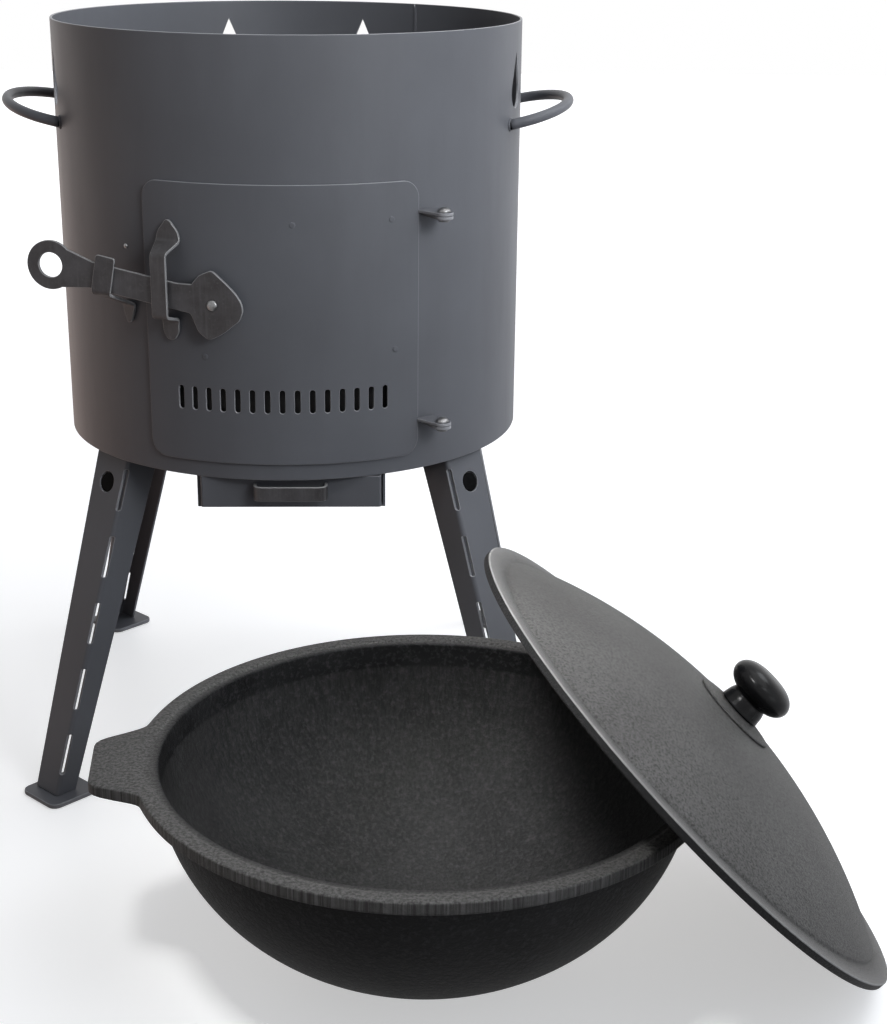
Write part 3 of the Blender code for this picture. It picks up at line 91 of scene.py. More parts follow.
# The latch bar, its guide and its keeper
LATCH_AZIMUTH = -14.6
LATCH_HEIGHT = 0.4235
LATCH_STANDOFF = 0.010
BAR_THICKNESS = 0.003
BAR_EDGE = 0.0005
BAR_HALF_HEIGHT = 0.0103
BAR_RISE_ANGLE = 10.5
RING_DISTANCE = 0.1338
RING_RADIUS = 0.0192
RING_HOLE_RADIUS = 0.0098
RING_NECK_ANGLE = 52.0
NECK_LENGTH = 0.034
PIVOT_COLLAR_SHARE = 1.2
HEAD_TOP = (
    (-0.0190, 0.0122), (-0.0146, 0.0203), (-0.0050, 0.0268), (0.0080, 0.0191),
    (0.0160, 0.0138), (0.0222, 0.0075), (0.0247, 0.0015),
)
HEAD_BOTTOM = (
    (0.0234, -0.0068), (0.0130, -0.0190), (0.0060, -0.0250), (0.0010, -0.0277),
    (-0.0078, -0.0234), (-0.0152, -0.0116), (-0.0172, -0.0103),
)
HEAD_ROOT_X = -0.0304
HEAD_FILLET = 0.003
PIVOT_RADIUS = 0.003
PIVOT_HEAD_RADIUS = 0.0043
PIVOT_HEAD_HEIGHT = 0.0021
STRAP_SHEET = 0.0025
STRAP_BEND = 0.0028
STRAP_EDGE = 0.0005
GUIDE_AZIMUTH = -25.6
GUIDE_STANDOFF = 0.0185
GUIDE_FACE_TOP = 0.4615
GUIDE_FACE_BOTTOM = 0.4125
GUIDE_HALF_WIDTH = 0.0068
GUIDE_LEAF_HALF_WIDTH = 0.0105
GUIDE_LEAF_REACH = 0.0165
GUIDE_SLOPE_RISE = 0.008
GUIDE_TIP_SHARE = 0.25
GUIDE_SWELL_SHARES = (0.55, 0.85)
GUIDE_FOOT_SHARES = (1.1, 0.45)
GUIDE_TAPER_SHARE = 0.6
KEEPER_SHIFT = 0.0893
KEEPER_HALF_WIDTH = 0.0079
KEEPER_LIP_ABOVE_BAR = 0.0075
KEEPER_WEB_DROP = 0.013
KEEPER_LEAF_REACH = 0.015
KEEPER_LEAF_SHARES = (0.85, 0.6, 0.22)

# The side handles
HANDLE_ROD_RADIUS = 0.0043
HANDLE_HALF_WIDTH = 0.077
HANDLE_SETBACK = 0.008
HANDLE_ARCH_START = 0.191
HANDLE_ARCH_REACH = 0.0455
HANDLE_HEIGHT = 0.5465
HANDLE_TIP_RISE = 0.011
BEAD_RIPPLE_SHARE = 0.12
BEAD_RIPPLE_LENGTH_SHARE = 0.55
WELD_TUBE_SHARE = 0.2
WELD_REACH_SHARE = 1.08
WELD_RIPPLE_SHARE = 0.06
WELD_RIPPLES = 9

# The ash drawer and its pull
DRAWER_CENTRE = 0.0045
DRAWER_HALF_WIDTH = 0.0725
DRAWER_FRONT = -0.183
DRAWER_BACK = 0.098
DRAWER_BOTTOM = 0.2545
DRAWER_TOP = 0.2807
DRAWER_SHEET = 0.0015
DRAWER_CORNER = 0.0022
DRAWER_EDGE = 0.0004
DRAWER_SOFT_SHARE = 0.3
PULL_HALF_WIDTH = 0.0295
PULL_BOTTOM = 0.264
PULL_HEIGHT = 0.0118
PULL_REACH = 0.0145
PULL_CORNER = 0.007

# The legs and feet
LEG_AZIMUTH = 44.0
FLANGE_AZIMUTH = 45.0
LEG_TOP = 0.2806
LEG_TOP_RADIUS = 0.188
LEG_FOOT_RADIUS = 0.2825
LEG_SHEET = 0.0025
LEG_FOLD_RADIUS = 0.0024
OUTER_FLANGE_TOP = 0.041
OUTER_FLANGE_FOOT = 0.029
INNER_FLANGE_TOP = 0.0315
INNER_FLANGE_FOOT = 0.0195
LEG_SLOT_COUNT = 5
LEG_SLOT_LENGTH = 0.035
LEG_SLOT_WIDTH = 0.0030
LEG_SLOT_FIRST = 0.0105
LEG_SLOT_PITCH = 0.0570
LEG_HOLE_RADIUS = 0.0088
LEG_HOLE_DROP = 0.0238
LEG_HOLE_PLACE = 0.0217
FOOT_THICKNESS = 0.004
FOOT_HALF_SIDE = 0.0235
FOOT_CORNER = 0.008
FOOT_TOE = 0.012
FOOT_EDGE = 0.0009

# The cauldron
FLANGE_RADIUS = 0.202
FLANGE_THICKNESS = 0.009
MOUTH_RADIUS = 0.1845
BOWL_RADIUS = 0.188
BOWL_DEPTH = 0.160
BOWL_WALL = 0.004
BOWL_FLAT_RADIUS = 0.026
FLOOR_GAP = 0.0003
CAULDRON_LUG_TIP = 0.2306
CAULDRON_LUG_HALF_ROOT = 0.056
CAULDRON_LUG_HALF_TIP = 0.033
CAULDRON_LUG_DROP = 0.0005
CAULDRON_LUG_ROUNDING = 0.006
CAULDRON_LUG_BLEND = 0.006
LUG_OUTLINE_STEPS = 400
LUG_HIDDEN_SHARE = 0.9
CAST_EDGE = 0.0016
LEDGE_WIDTH = 0.0068
LEDGE_DROP = 0.0013
# How far the bowl's inside is painted toward the paler ground tone, as a painted sheen.
INSIDE_PAINTED_SHEEN_SHARE = 0.2
FOOT_START_SHARE = 0.4
BOWL_END_SHARE = 1.5
CAST_STEP_SHARE = 1.4
GROUND_RISE_SHARE = 3
LUG_TIP_SHARES = (0.92, 1.1)
LUG_ROOT_SHARES = (0.86, 1.1)
LUG_CIRCLE_SHARES = (0.99, 0.98)
BEARING = 4.0

# The lid and its knob
LID_LEAN = 45.0
LID_SHIFT = 0.183503
LID_FLANGE_THICKNESS = 0.006
LID_FLANGE_WIDTH = 0.018
LID_APEX = 0.051
LID_CAP_RADIUS = 0.415
LID_WALL = 0.004
LID_EDGE = 0.0013
KNOB_PLATE_RADIUS = 0.032
KNOB_PLATE_RISE = 0.003
KNOB_NECK_RADIUS = 0.0165
KNOB_NECK_HEIGHT = 0.010
KNOB_RADIUS = 0.0245
KNOB_HEIGHT = 0.034
KNOB_TURN_START = -64.0
KNOB_FULLNESS = 0.7
SCREW_HOLE = 0.0033
# Where the lid's pale ground edge starts, in edge radii; the band also stands as a painted edge highlight.
GROUND_HIGHLIGHT_EDGE_SHARE = 1.4
# How far below the lid flange's top the painted shade on its edge starts, in edge radii.
PAINTED_SHADE_EDGE_SHARE = 0.8
KNOB_PLATE_STEP_SHARE = 1.1
KNOB_FOOT_SHARES = (0.92, 0.2)

# The camera, about the drum's axis
CAMERA_PLACE = (0.0797, -1.558, 0.7338)
CAMERA_PAN = -1.98
CAMERA_TILT = -19.37
CAMERA_ROLL = 0.58
CAMERA_LENS_MM = 63.39
CAMERA_SENSOR_MM = 36.0

# The floor: as it is seen, and by zones as it lights the stove from below
FLOOR_HALF_SIDE = 6.0
FLOOR_DROP = 0.0004
FLOOR_SEEN_TONE = (0.76, 0.76, 0.76)
FLOOR_WARM_TONE = (0.98, 0.60, 0.44)
FLOOR_MIDDLE_TONE = (0.09, 0.08, 0.08)
FLOOR_COOL_TONE = (0.34, 0.34, 0.36)
FLOOR_WARM_X = (-0.75, -0.25)
FLOOR_WARM_Y = (-0.35, -0.1)
FLOOR_WARM_FRONT_SHARE = 0.12
FLOOR_COOL_X = (0.15, 0.6)
FLOOR_GLOW_REACH = (1.2, 3.0)
FLOOR_GLOW_SHARES = (0.48, 0.85)

# The studio round it, by the direction's own X, Y and Z
LEFT_TONE = (0.030, 0.022, 0.018)
RIGHT_TONE = (0.80, 0.89, 1.02)
BEHIND_TONE = (1.10, 0.98, 0.90)
ABOVE_LEFT_TONE = (0.20, 0.22, 0.25)
ABOVE_RIGHT_TONE = (0.95, 1.03, 1.16)
RIGHT_FROM = (-0.05, 0.75)
BEHIND_FROM = (0.35, 0.85)
ABOVE_FROM = (0.30, 0.9)

# Each lamp's name, place, target, size, watts, colour and spread in degrees
LAMPS = (
    ("top_light", (0.9, -0.2, 2.6), (0.0, 0.0, 0.3), (2.4, 2.4), 28.0, (1.0, 1.0, 1.0), 180.0),
    ("right_light", (2.2, -1.2, 1.2), (0.0, 0.0, 0.4), (1.4, 1.4), 2.5, (0.88, 0.94, 1.0), 180.0),
    ("low_light", (1.7, -1.9, 0.42), (0.0, 0.0, 0.25), (1.2, 0.6), 3.0, (0.92, 0.96, 1.0), 180.0),
    ("near_light", (0.70, -0.95, 1.15), (0.05, 0.0, 1.00), (0.5, 0.5), 4.0, (0.95, 0.97, 1.0), 80.0),
    ("inner_light", (1.3, 0.5, 1.5), (-0.25, 0.2, 0.55), (0.7, 0.7), 7.0, (0.92, 0.96, 1.0), 180.0),
    ("bowl_light", (-0.22, -0.62, 1.15), (0.05, -0.18, 0.05), (0.25, 0.25), 0.6, (1.0, 1.0, 1.0), 26.0),
)

# How far the finishes' bumps rise
PAINT_CLOUD_RISE = 0.0006
PAINT_PEEL_RISE = 0.00003
SCALE_PATCH_RISE = 0.0002
SCALE_FINE_RISE = 0.00005
TURNING_RISE = 0.00003
SOOT_RISE = 0.0003
PEBBLE_RISE = 0.0011
SAND_RISE = 0.00018
LID_GRAIN_RISE = 0.0011
LID_WAVE_RISE = 0.0004
KNOB_FINE_RISE = 0.00003
KNOB_WAVE_RISE = 0.0003
HOLE_SHADE_DUST_RISE = 0.0001

# How finely the surfaces are laid out
EDGE_STEPS = 3
WALL_STEP = (0.008, 0.016)
SMALL_STEP = (0.0016, 0.0016)
LEG_STEP = (0.0012, 0.012)
ROD_STEPS = 28
TURN_STEPS = 192
KNOB_TURN_STEPS = 72
PIN_TURN_STEPS = 32
HEAD_STEPS = 12
RIVET_STEPS = 7
SEAM_STEPS = 220
LUG_HOLE_STEPS = 24
LUG_ARC_STEPS = 20
LUG_NOSE_STEPS = 24
RING_STEPS = 56
RING_HOLE_STEPS = 48
HANDLE_ARCH_STEPS = 56
HANDLE_ARM_STEPS = 4
WELD_AROUND_STEPS = 48
WELD_TUBE_STEPS = 16
LEG_HOLE_STEPS = 40
BOWL_OUTER_STEPS = 64
BOWL_INNER_STEPS = 72
BOWL_INNER_START = 6
LID_STEPS = 60
KNOB_STEPS = 30
CORNER_SHARE = 0.45
RIM_GAP_SHARE = 0.45
RIM_BATCH = 256
LEAST_STRETCH_SHARE = 0.5
TINY = 1e-9

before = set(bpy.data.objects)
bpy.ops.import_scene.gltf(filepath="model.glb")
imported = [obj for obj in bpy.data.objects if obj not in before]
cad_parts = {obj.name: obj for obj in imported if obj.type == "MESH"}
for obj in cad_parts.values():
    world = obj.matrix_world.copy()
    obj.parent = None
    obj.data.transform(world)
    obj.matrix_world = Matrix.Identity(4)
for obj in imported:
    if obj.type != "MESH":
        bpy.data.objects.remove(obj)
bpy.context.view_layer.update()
bpy.context.scene.view_settings.view_transform = "Standard"


def middle_of(node):
    """The point on the floor below the middle of a node's box."""
    low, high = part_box(node)
    return np.array([(low.x + high.x) / 2, (low.y + high.y) / 2, 0.0])


STOVE = middle_of("drum_shell")
CAULDRON = middle_of("cauldron")
UP = np.array([0.0, 0.0, 1.0])


def unit(vectors):
    """Vectors divided by their own lengths."""
    return vectors / np.maximum(np.linalg.norm(vectors, axis=-1, keepdims=True), TINY)


def outward(azimuth):
    """The level direction away from the drum's axis: (sin a, -cos a, 0)."""
    turn = np.radians(azimuth)
    return np.stack([np.sin(turn), -np.cos(turn), np.zeros_like(turn)], -1)


def sideways(azimuth):
    """The level direction along the drum's wall: (cos a, sin a, 0)."""
    turn = np.radians(azimuth)
    return np.stack([np.cos(turn), np.sin(turn), np.zeros_like(turn)], -1)


def wall_point(azimuth, radius, height):
    """A point at an azimuth, a distance from the drum's axis and a height."""
    return STOVE + outward(azimuth) * radius + UP * height


def arc(centre, radius, start, end, steps):
    """Points c + r (cos t, sin t) for steps + 1 even turns t from start to end."""
    turn = np.radians(np.linspace(start, end, steps + 1))
    return np.asarray(centre) + radius * np.stack([np.cos(turn), np.sin(turn)], 1)


def circle(centre, radius, steps):
    """A closed ring of points round a centre."""
    return arc(centre, radius, 0.0, 360.0, steps)[:-1]


def rounded_rectangle(half_x, half_y, corner, steps=6):
    """A rectangle about the origin with a quarter circle at each corner."""
    quarters = []
    for quarter, (side_x, side_y) in enumerate(((1, 1), (-1, 1), (-1, -1), (1, -1))):
        centre = (side_x * (half_x - corner), side_y * (half_y - corner))
        quarters.append(arc(centre, corner, 90.0 * quarter, 90.0 * quarter + 90.0, steps))
    return np.concatenate(quarters)


def softened(points, reach, closed=True, steps=5):
    """Each corner b between a and c becomes the parabola (1-t)^2 p + 2t(1-t) b + t^2 q, where p and q lie
    on its two sides, at most the reach away and at most 45% along."""
    points = np.asarray(points, float)
    before = np.roll(points, 1, 0)
    after = np.roll(points, -1, 0)
    to_before = before - points
    to_after = after - points
    length_before = np.linalg.norm(to_before, axis=1, keepdims=True)
    length_after = np.linalg.norm(to_after, axis=1, keepdims=True)
    start = points + unit(to_before) * np.minimum(reach, length_before * CORNER_SHARE)
    end = points + unit(to_after) * np.minimum(reach, length_after * CORNER_SHARE)
    t = np.linspace(0.0, 1.0, steps + 1)[None, :, None]
    curve = (1 - t) ** 2 * start[:, None] + 2 * t * (1 - t) * points[:, None] + t ** 2 * end[:, None]
    if closed:
        return curve.reshape(-1, points.shape[1])
    return np.concatenate([points[:1], curve[1:-1].reshape(-1, points.shape[1]), points[-1:]])


def lengths_along(path):
    """The distance from a path's first point to each of its points, along it."""
    return np.concatenate([[0.0], np.cumsum(np.linalg.norm(np.diff(path, axis=0), axis=1))])


def dome(radius, base, rise, steps):
    """A rivet head's profile from its top to its rim: (r cos t, b + h sin t)."""
    turn = np.radians(np.linspace(90.0, 0.0, steps))
    return np.stack([radius * np.cos(turn), base + rise * np.sin(turn)], 1)


def signed_area(loop):
    """Half the sum of x_i y_(i+1) - x_(i+1) y_i, positive for a loop that turns left."""
    after = np.roll(loop, -1, 0)
    return 0.5 * np.sum(loop[:, 0] * after[:, 1] - after[:, 0] * loop[:, 1])


def divided(loop, step):
    """The loop with each side cut evenly into parts no longer than the step, in x and in y."""
    after = np.roll(loop, -1, 0)
    spans = np.abs(after - loop) / np.asarray(step)
    counts = np.maximum(1, np.ceil(spans.max(1)).astype(int))
    start = np.repeat(loop, counts, 0)
    side = np.repeat(after - loop, counts, 0)
    first = np.repeat(np.cumsum(counts) - counts, counts)
    share = (np.arange(counts.sum()) - first) / np.repeat(counts, counts)
    return start + side * share[:, None]


def away(loop):
    """At each point of a loop with its material on the left, the way off the material, stretched at
    corners so that both sides move by the same distance."""
    ahead = unit(np.roll(loop, -1, 0) - loop)
    normal = np.stack([ahead[:, 1], -ahead[:, 0]], 1)
    mean = unit(normal + np.roll(normal, 1, 0))
    stretch = np.sum(mean * normal, 1, keepdims=True)
    return mean / np.maximum(stretch, LEAST_STRETCH_SHARE)


def inside(points, loop):
    """Whether each point lies in a loop: a ray along +X crosses it an odd number of times."""
    x, y = points[:, 0, None], points[:, 1, None]
    x0, y0 = loop[None, :, 0], loop[None, :, 1]
    x1, y1 = np.roll(loop[:, 0], -1)[None], np.roll(loop[:, 1], -1)[None]
    spans = (y0 > y) != (y1 > y)
    rise = np.where(np.abs(y1 - y0) < TINY, TINY, y1 - y0)
    crosses = spans & (x < (x1 - x0) * (y - y0) / rise + x0)
    return crosses.sum(1) % 2 == 1


def filled(loops, step):
    """Triangles that fill the first loop but not the others, with a grid of inner points a step apart.

    Returns the points, the triangles and where each loop starts in the points.
    """
    scale = np.asarray(step, float)
    scaled = [loop / scale for loop in loops]
    low, high = scaled[0].min(0), scaled[0].max(0)
    columns = np.arange(low[0] + 0.5, high[0], 1.0)
    rows = np.arange(low[1] + 0.5, high[1], 1.0)
    grid = np.stack(np.meshgrid(columns, rows), -1).reshape(-1, 2)
    keep = inside(grid, scaled[0])
    for hole in scaled[1:]:
        keep &= ~inside(grid, hole)
    grid = grid[keep]
    rim = np.concatenate(scaled)
    if len(grid):
        near = np.full(len(grid), np.inf)
        for start in range(0, len(rim), RIM_BATCH):
            part = rim[start:start + RIM_BATCH]
            distance = np.linalg.norm(grid[:, None] - part[None], axis=2).min(1)
            near = np.minimum(near, distance)
        grid = grid[near > RIM_GAP_SHARE]
    points = np.concatenate([rim, grid])
    sides = []
    starts = []
    start = 0
    for loop in scaled:
        index = np.arange(len(loop))
        sides.append(np.stack([index, (index + 1) % len(loop)], 1) + start)
        starts.append(start)
        start += len(loop)
    made = delaunay_2d_cdt(
        [Vector(point) for point in points.tolist()], np.concatenate(sides).tolist(), [], 0, TINY
    )
    origin = np.array([group[0] if group else -1 for group in made[3]])
    triangles = origin[np.array(made[2])]
    centres = points[triangles].mean(1)
    keep = inside(centres, scaled[0])
    for hole in scaled[1:]:
        keep &= ~inside(centres, hole)
    return points * scale, triangles[keep], starts


def facing_out(points, faces):
    """The faces turned to give a closed surface a positive volume: a sixth of the sum of a . (b x c)."""
    volume = 0.0
    for group in faces:
        corners = points[group]
        for last in range(2, corners.shape[1]):
            cross = np.cross(corners[:, last - 1], corners[:, last])
            volume += np.sum(corners[:, 0] * cross)
    if volume < 0:
        return [group[:, ::-1] for group in faces]
    return faces


def plate(outline, holes, spread, thickness, edge, step):
    """A sheet of metal with rounded edges, drawn flat and spread over a wall, fold or plane.

    The flat face stops an edge's radius e short of the outline. From there the rim turns through quarter
    circles: at a turn t it is e (1 - sin t) short of the outline and e (1 - cos t) below the face.
    """
    loops = []
    for index, loop in enumerate([outline, *holes]):
        loop = np.asarray(loop, float)
        if (signed_area(loop) > 0) != (index == 0):
            loop = loop[::-1]
        loops.append(divided(loop, step))
    ways = [away(loop) for loop in loops]
    flat, triangles, starts = filled([loop - way * edge for loop, way in zip(loops, ways)], step)
    origin, across, along, out = spread(flat)
    half = thickness / 2
    points = [origin + out * half, origin - out * half]
    normals = [out, -out]
    wear_and_painted_light = [np.zeros(len(flat)), np.zeros(len(flat))]
    faces = [triangles, triangles[:, ::-1] + len(flat)]
    quarter = np.linspace(0.0, math.pi / 2, EDGE_STEPS + 1)
    turn = np.concatenate([quarter, np.linspace(math.pi / 2, math.pi, EDGE_STEPS + 1)])
    sides = [1] * (EDGE_STEPS + 1) + [-1] * (EDGE_STEPS + 1)
    used = 2 * len(flat)
    for loop, way, start in zip(loops, ways, starts):
        count = len(loop)
        index = np.arange(count)
        after = (index + 1) % count
        ring = start + index
        for level in range(1, len(turn)):
            if level == len(turn) - 1:
                below = start + index + len(flat)
            else:
                short = edge * (1 - math.sin(turn[level]))
                drop = sides[level] * (half - edge) + edge * math.cos(turn[level])
                place, side_x, side_y, face = spread(loop - way * short)
                off = unit(side_x * way[:, :1] + side_y * way[:, 1:])
                points.append(place + face * drop)
                normals.append(unit(face * math.cos(turn[level]) + off * math.sin(turn[level])))
                # The rounded rims get 1: rubbed edges, which the finishes also use as painted edge
                # highlights.
                wear_and_painted_light.append(np.ones(count))
                below = used + index
                used += count
            faces.append(np.stack([ring[after], ring, below, below[after]], 1))
            ring = below
    points = np.concatenate(points)
    return points, facing_out(points, faces), np.concatenate(normals), np.concatenate(wear_and_painted_light)


def averaged_normals(points, faces):
    """At each point the sum of its faces' normals, each as long as its face's area."""
    total = np.zeros_like(points)
    for group in faces:
        corners = points[group]
        if group.shape[1] == 4:
            cross = np.cross(corners[:, 2] - corners[:, 0], corners[:, 3] - corners[:, 1])
        else:
            cross = np.cross(corners[:, 1] - corners[:, 0], corners[:, 2] - corners[:, 0])
        for column in range(group.shape[1]):
            np.add.at(total, group[:, column], cross)
    return unit(total)


def carried(points, closed_rows, closed_columns, wear_and_painted_light=None):
    """A closed surface through a grid of points. A row or column that is one point is merged into it."""
    rows, columns = points.shape[:2]
    row = np.arange(rows if closed_rows else rows - 1)
    column = np.arange(columns if closed_columns else columns - 1)
    row, column = [side.ravel() for side in np.meshgrid(row, column, indexing="ij")]
    next_row, next_column = (row + 1) % rows, (column + 1) % columns
    quads = np.stack([
        row * columns + column,
        next_row * columns + column,
        next_row * columns + next_column,
        row * columns + next_column,
    ], 1)
    flat = points.reshape(-1, 3)
    _, first, merged = np.unique(np.round(flat, 8), axis=0, return_index=True, return_inverse=True)
    merged = merged.ravel()
    quads = merged[quads]
    same = quads == np.roll(quads, -1, 1)
    whole = quads[~same.any(1)]
    triangles = []
    for corner in range(4):
        chosen = quads[same[:, corner] & (same.sum(1) == 1)]
        triangles.append(np.delete(chosen, corner, 1))
    faces = [group for group in [whole, np.concatenate(triangles)] if len(group)]
    flat = flat[first]
    faces = facing_out(flat, faces)
    worn_and_painted_light = np.zeros(rows * columns) if wear_and_painted_light is None else np.asarray(wear_and_painted_light, float).ravel()
    return flat, faces, averaged_normals(flat, faces), worn_and_painted_light[first]


def turned(profile, steps, place, wear_and_painted_light=None):
    """A profile of (radius, height) points carried round an axis: (r cos t, r sin t, h)."""
    profile = np.asarray(profile, float)
    turn = np.linspace(0.0, math.tau, steps, endpoint=False)
    radius = profile[:, 0, None]
    height = np.repeat(profile[:, 1, None], steps, 1)
    local = np.stack([radius * np.cos(turn), radius * np.sin(turn), height], -1)
    closed = profile[0, 0] > TINY
    worn_and_painted_light = None if wear_and_painted_light is None else np.repeat(np.asarray(wear_and_painted_light, float)[:, None], steps, 1)
    return carried(placed(local, place), closed, True, worn_and_painted_light)


def placed(local, place):
    """Points put into a frame (origin, x axis, y axis, z axis)."""
    origin, x_axis, y_axis, z_axis = place
    return origin + local[..., :1] * x_axis + local[..., 1:2] * y_axis + local[..., 2:3] * z_axis


def wall_frame(azimuth, radius, height):
    """A frame on the wall: X to the right, Y up, Z outward."""
    return wall_point(azimuth, radius, height), sideways(azimuth), UP, outward(azimuth)


def latch_frame():
    """The latch bar's frame: the wall's, turned so that the ring end rises."""
    origin, right, up, out = wall_frame(LATCH_AZIMUTH, DRUM_RADIUS + LATCH_STANDOFF, LATCH_HEIGHT)
    rise = math.radians(BAR_RISE_ANGLE)
    x_axis = right * math.cos(rise) - up * math.sin(rise)
    y_axis = right * math.sin(rise) + up * math.cos(rise)
    return origin, x_axis, y_axis, out


def over_wall(radius):
    """Spreads a flat shape round the drum: x is the arc from the front, y the height."""
    def spread(flat):
        azimuth = np.degrees(flat[:, 0] / radius)
        out = outward(azimuth)
        origin = STOVE + out * radius + UP * flat[:, 1:]
        return origin, sideways(azimuth), np.broadcast_to(UP, origin.shape), out
    return spread


def over_plane(place):
    """Lays a flat shape on a frame's X and Y."""
    origin, x_axis, y_axis, z_axis = place

    def spread(flat):
        points = origin + flat[:, :1] * x_axis + flat[:, 1:] * y_axis
        axes = [np.broadcast_to(axis, points.shape) for axis in (x_axis, y_axis, z_axis)]
        return points, *axes
    return spread


def over_folds(stops, rights, bend):
    """Spreads a flat strap over a folded path: y is the way along it and x the way across.

    The path's corners are softened. Returns the spread and each stop's distance along the path.
    """
    stops = np.asarray(stops, float)
    path = softened(stops, bend, closed=False, steps=8)
    length = lengths_along(path)
    nearest = np.linalg.norm(path[:, None] - stops[None], axis=2).argmin(0)
    marks = length[nearest]
    tangents = np.gradient(path, length, axis=0)
    sides = np.asarray(rights, float)

    def spread(flat):
        along = flat[:, 1]
        origin = np.stack([np.interp(along, length, path[:, axis]) for axis in range(3)], 1)
        forward = unit(np.stack([np.interp(along, length, tangents[:, axis]) for axis in range(3)], 1))
        side = unit(np.stack([np.interp(along, marks, sides[:, axis]) for axis in range(3)], 1))
        out = unit(np.cross(side, forward))
        side = unit(np.cross(forward, out))
        return origin + side * flat[:, :1], side, forward, out
    return spread, marks


def strap(stations, spread, thickness):
    """A folded strap from its (distance along, half width) stations."""
    stations = np.asarray(stations, float)
    right = np.stack([stations[:, 1], stations[:, 0]], 1)
    left = np.stack([-stations[::-1, 1], stations[::-1, 0]], 1)
    outline = softened(np.concatenate([right, left]), STRAP_SHEET, steps=4)
    return plate(outline, [], spread, thickness, STRAP_EDGE, SMALL_STEP)


def rod(path, radius, steps):
    """A round bar along a path: rings of r (cos t s + sin t u), s level across it and u square to both."""
    path = np.asarray(path, float)
    along = unit(np.gradient(path, axis=0))
    side = unit(np.cross(along, UP))
    over = np.cross(side, along)
    turn = np.linspace(0.0, math.tau, steps, endpoint=False)[None, :, None]
    rings = path[:, None] + radius * (side[:, None] * np.cos(turn) + over[:, None] * np.sin(turn))
    ends = [np.repeat(path[index][None, None], steps, 1) for index in (0, -1)]
    return carried(np.concatenate([ends[0], rings, ends[1]]), False, True)


def bead(path, outs, half_width, height):
    """A weld's bead: half an ellipse over the seam, with ripples that run across it."""
    path = np.asarray(path, float)
    length = lengths_along(path)
    forward = unit(np.gradient(path, axis=0))
    side = unit(np.cross(outs, forward))
    turn = np.linspace(0.0, math.pi, 9)[None, :]
    ripple = 1 + BEAD_RIPPLE_SHARE * np.sin(length / (half_width * BEAD_RIPPLE_LENGTH_SHARE))[:, None]
    ends = np.minimum(1.0, np.minimum(length, length[-1] - length) / half_width)[:, None]
    swell = np.sqrt(np.maximum(1 - (1 - ends) ** 2, 0.0)) * ripple
    across = (half_width * np.cos(turn) * swell)[..., None]
    rise = (height * np.sin(turn) * swell)[..., None]
    shell = path[:, None] + side[:, None] * across + outs[:, None] * rise
    return carried(shell, False, True)


def socket(tree, start, end):
    """Joins an output socket to an input socket."""
    tree.links.new(start, end)


def noise(tree, coordinates, scale, detail=4.0, rough=0.5):
    """A noise texture's value at the coordinates."""
    node = tree.nodes.new("ShaderNodeTexNoise")
    node.inputs["Scale"].default_value = scale
    node.inputs["Detail"].default_value = detail
    node.inputs["Roughness"].default_value = rough
    socket(tree, coordinates, node.inputs["Vector"])
    return node.outputs["Fac"]


def stretched(tree, coordinates, scale):
    """Coordinates scaled apart along X, Y and Z."""
    node = tree.nodes.new("ShaderNodeMapping")
    node.inputs["Scale"].default_value = scale
    socket(tree, coordinates, node.inputs["Vector"])
    return node.outputs["Vector"]


def ranged(tree, value, low, high, to_low, to_high):
    """A value carried from one range to another and held at its ends."""
    node = tree.nodes.new("ShaderNodeMapRange")
    for name, number in (("From Min", low), ("From Max", high), ("To Min", to_low), ("To Max", to_high)):
        node.inputs[name].default_value = number
    socket(tree, value, node.inputs["Value"])
    return node.outputs["Result"]


def combined(tree, first, second, operation):
    """Two values combined by a Math node's operation."""
    node = tree.nodes.new("ShaderNodeMath")
    node.operation = operation
    socket(tree, first, node.inputs[0])
    socket(tree, second, node.inputs[1])
    return node.outputs[0]


def blended(tree, share, first, second):
    """A mix of two colours, each an RGB triple or a socket."""
    node = tree.nodes.new("ShaderNodeMix")
    node.data_type = "RGBA"
    socket(tree, share, node.inputs["Factor"])
    for value, end in ((first, node.inputs[6]), (second, node.inputs[7])):
        if isinstance(value, tuple):
            end.default_value = (*value, 1.0)
        else:
            socket(tree, value, end)
    return node.outputs[2]


def over(tree, value, low, high, share, tone, colour):
    """A colour laid over a tone where the value runs from low to high, up to a share of it."""
    return blended(tree, ranged(tree, value, low, high, 0.0, share), tone, colour)


def coated(made, shader, tone, rough, layers):
    """Joins a colour, a roughness and bumps to a finish's shader.

    Each bump is (value, height in metres), and they lie one over the other.
    """
    tree = made.node_tree
    socket(tree, tone, shader.inputs["Base Color"])
    socket(tree, rough, shader.inputs["Roughness"])
    before = None
    for value, height in layers:
        node = tree.nodes.new("ShaderNodeBump")
        node.inputs["Strength"].default_value = 1.0
        node.inputs["Distance"].default_value = height
        socket(tree, value, node.inputs["Height"])
        if before is not None:
            socket(tree, before, node.inputs["Normal"])
        before = node.outputs["Normal"]
    socket(tree, before, shader.inputs["Normal"])
    return made


def new_finish(name, metallic=0.0, specular=0.3):
    """A material with its Principled shader, object coordinates and the pieces' attribute of wear and
    painted light.
    """
    made = bpy.data.materials.new(name)
    made.use_nodes = True
    tree = made.node_tree
    shader = tree.nodes["Principled BSDF"]
    shader.inputs["Metallic"].default_value = metallic
    shader.inputs["Specular IOR Level"].default_value = specular
    coordinates = tree.nodes.new("ShaderNodeTexCoord").outputs["Object"]
    attribute = tree.nodes.new("ShaderNodeAttribute")
    attribute.attribute_name = "wear_and_painted_light"
    return made, tree, shader, coordinates, attribute.outputs["Fac"]


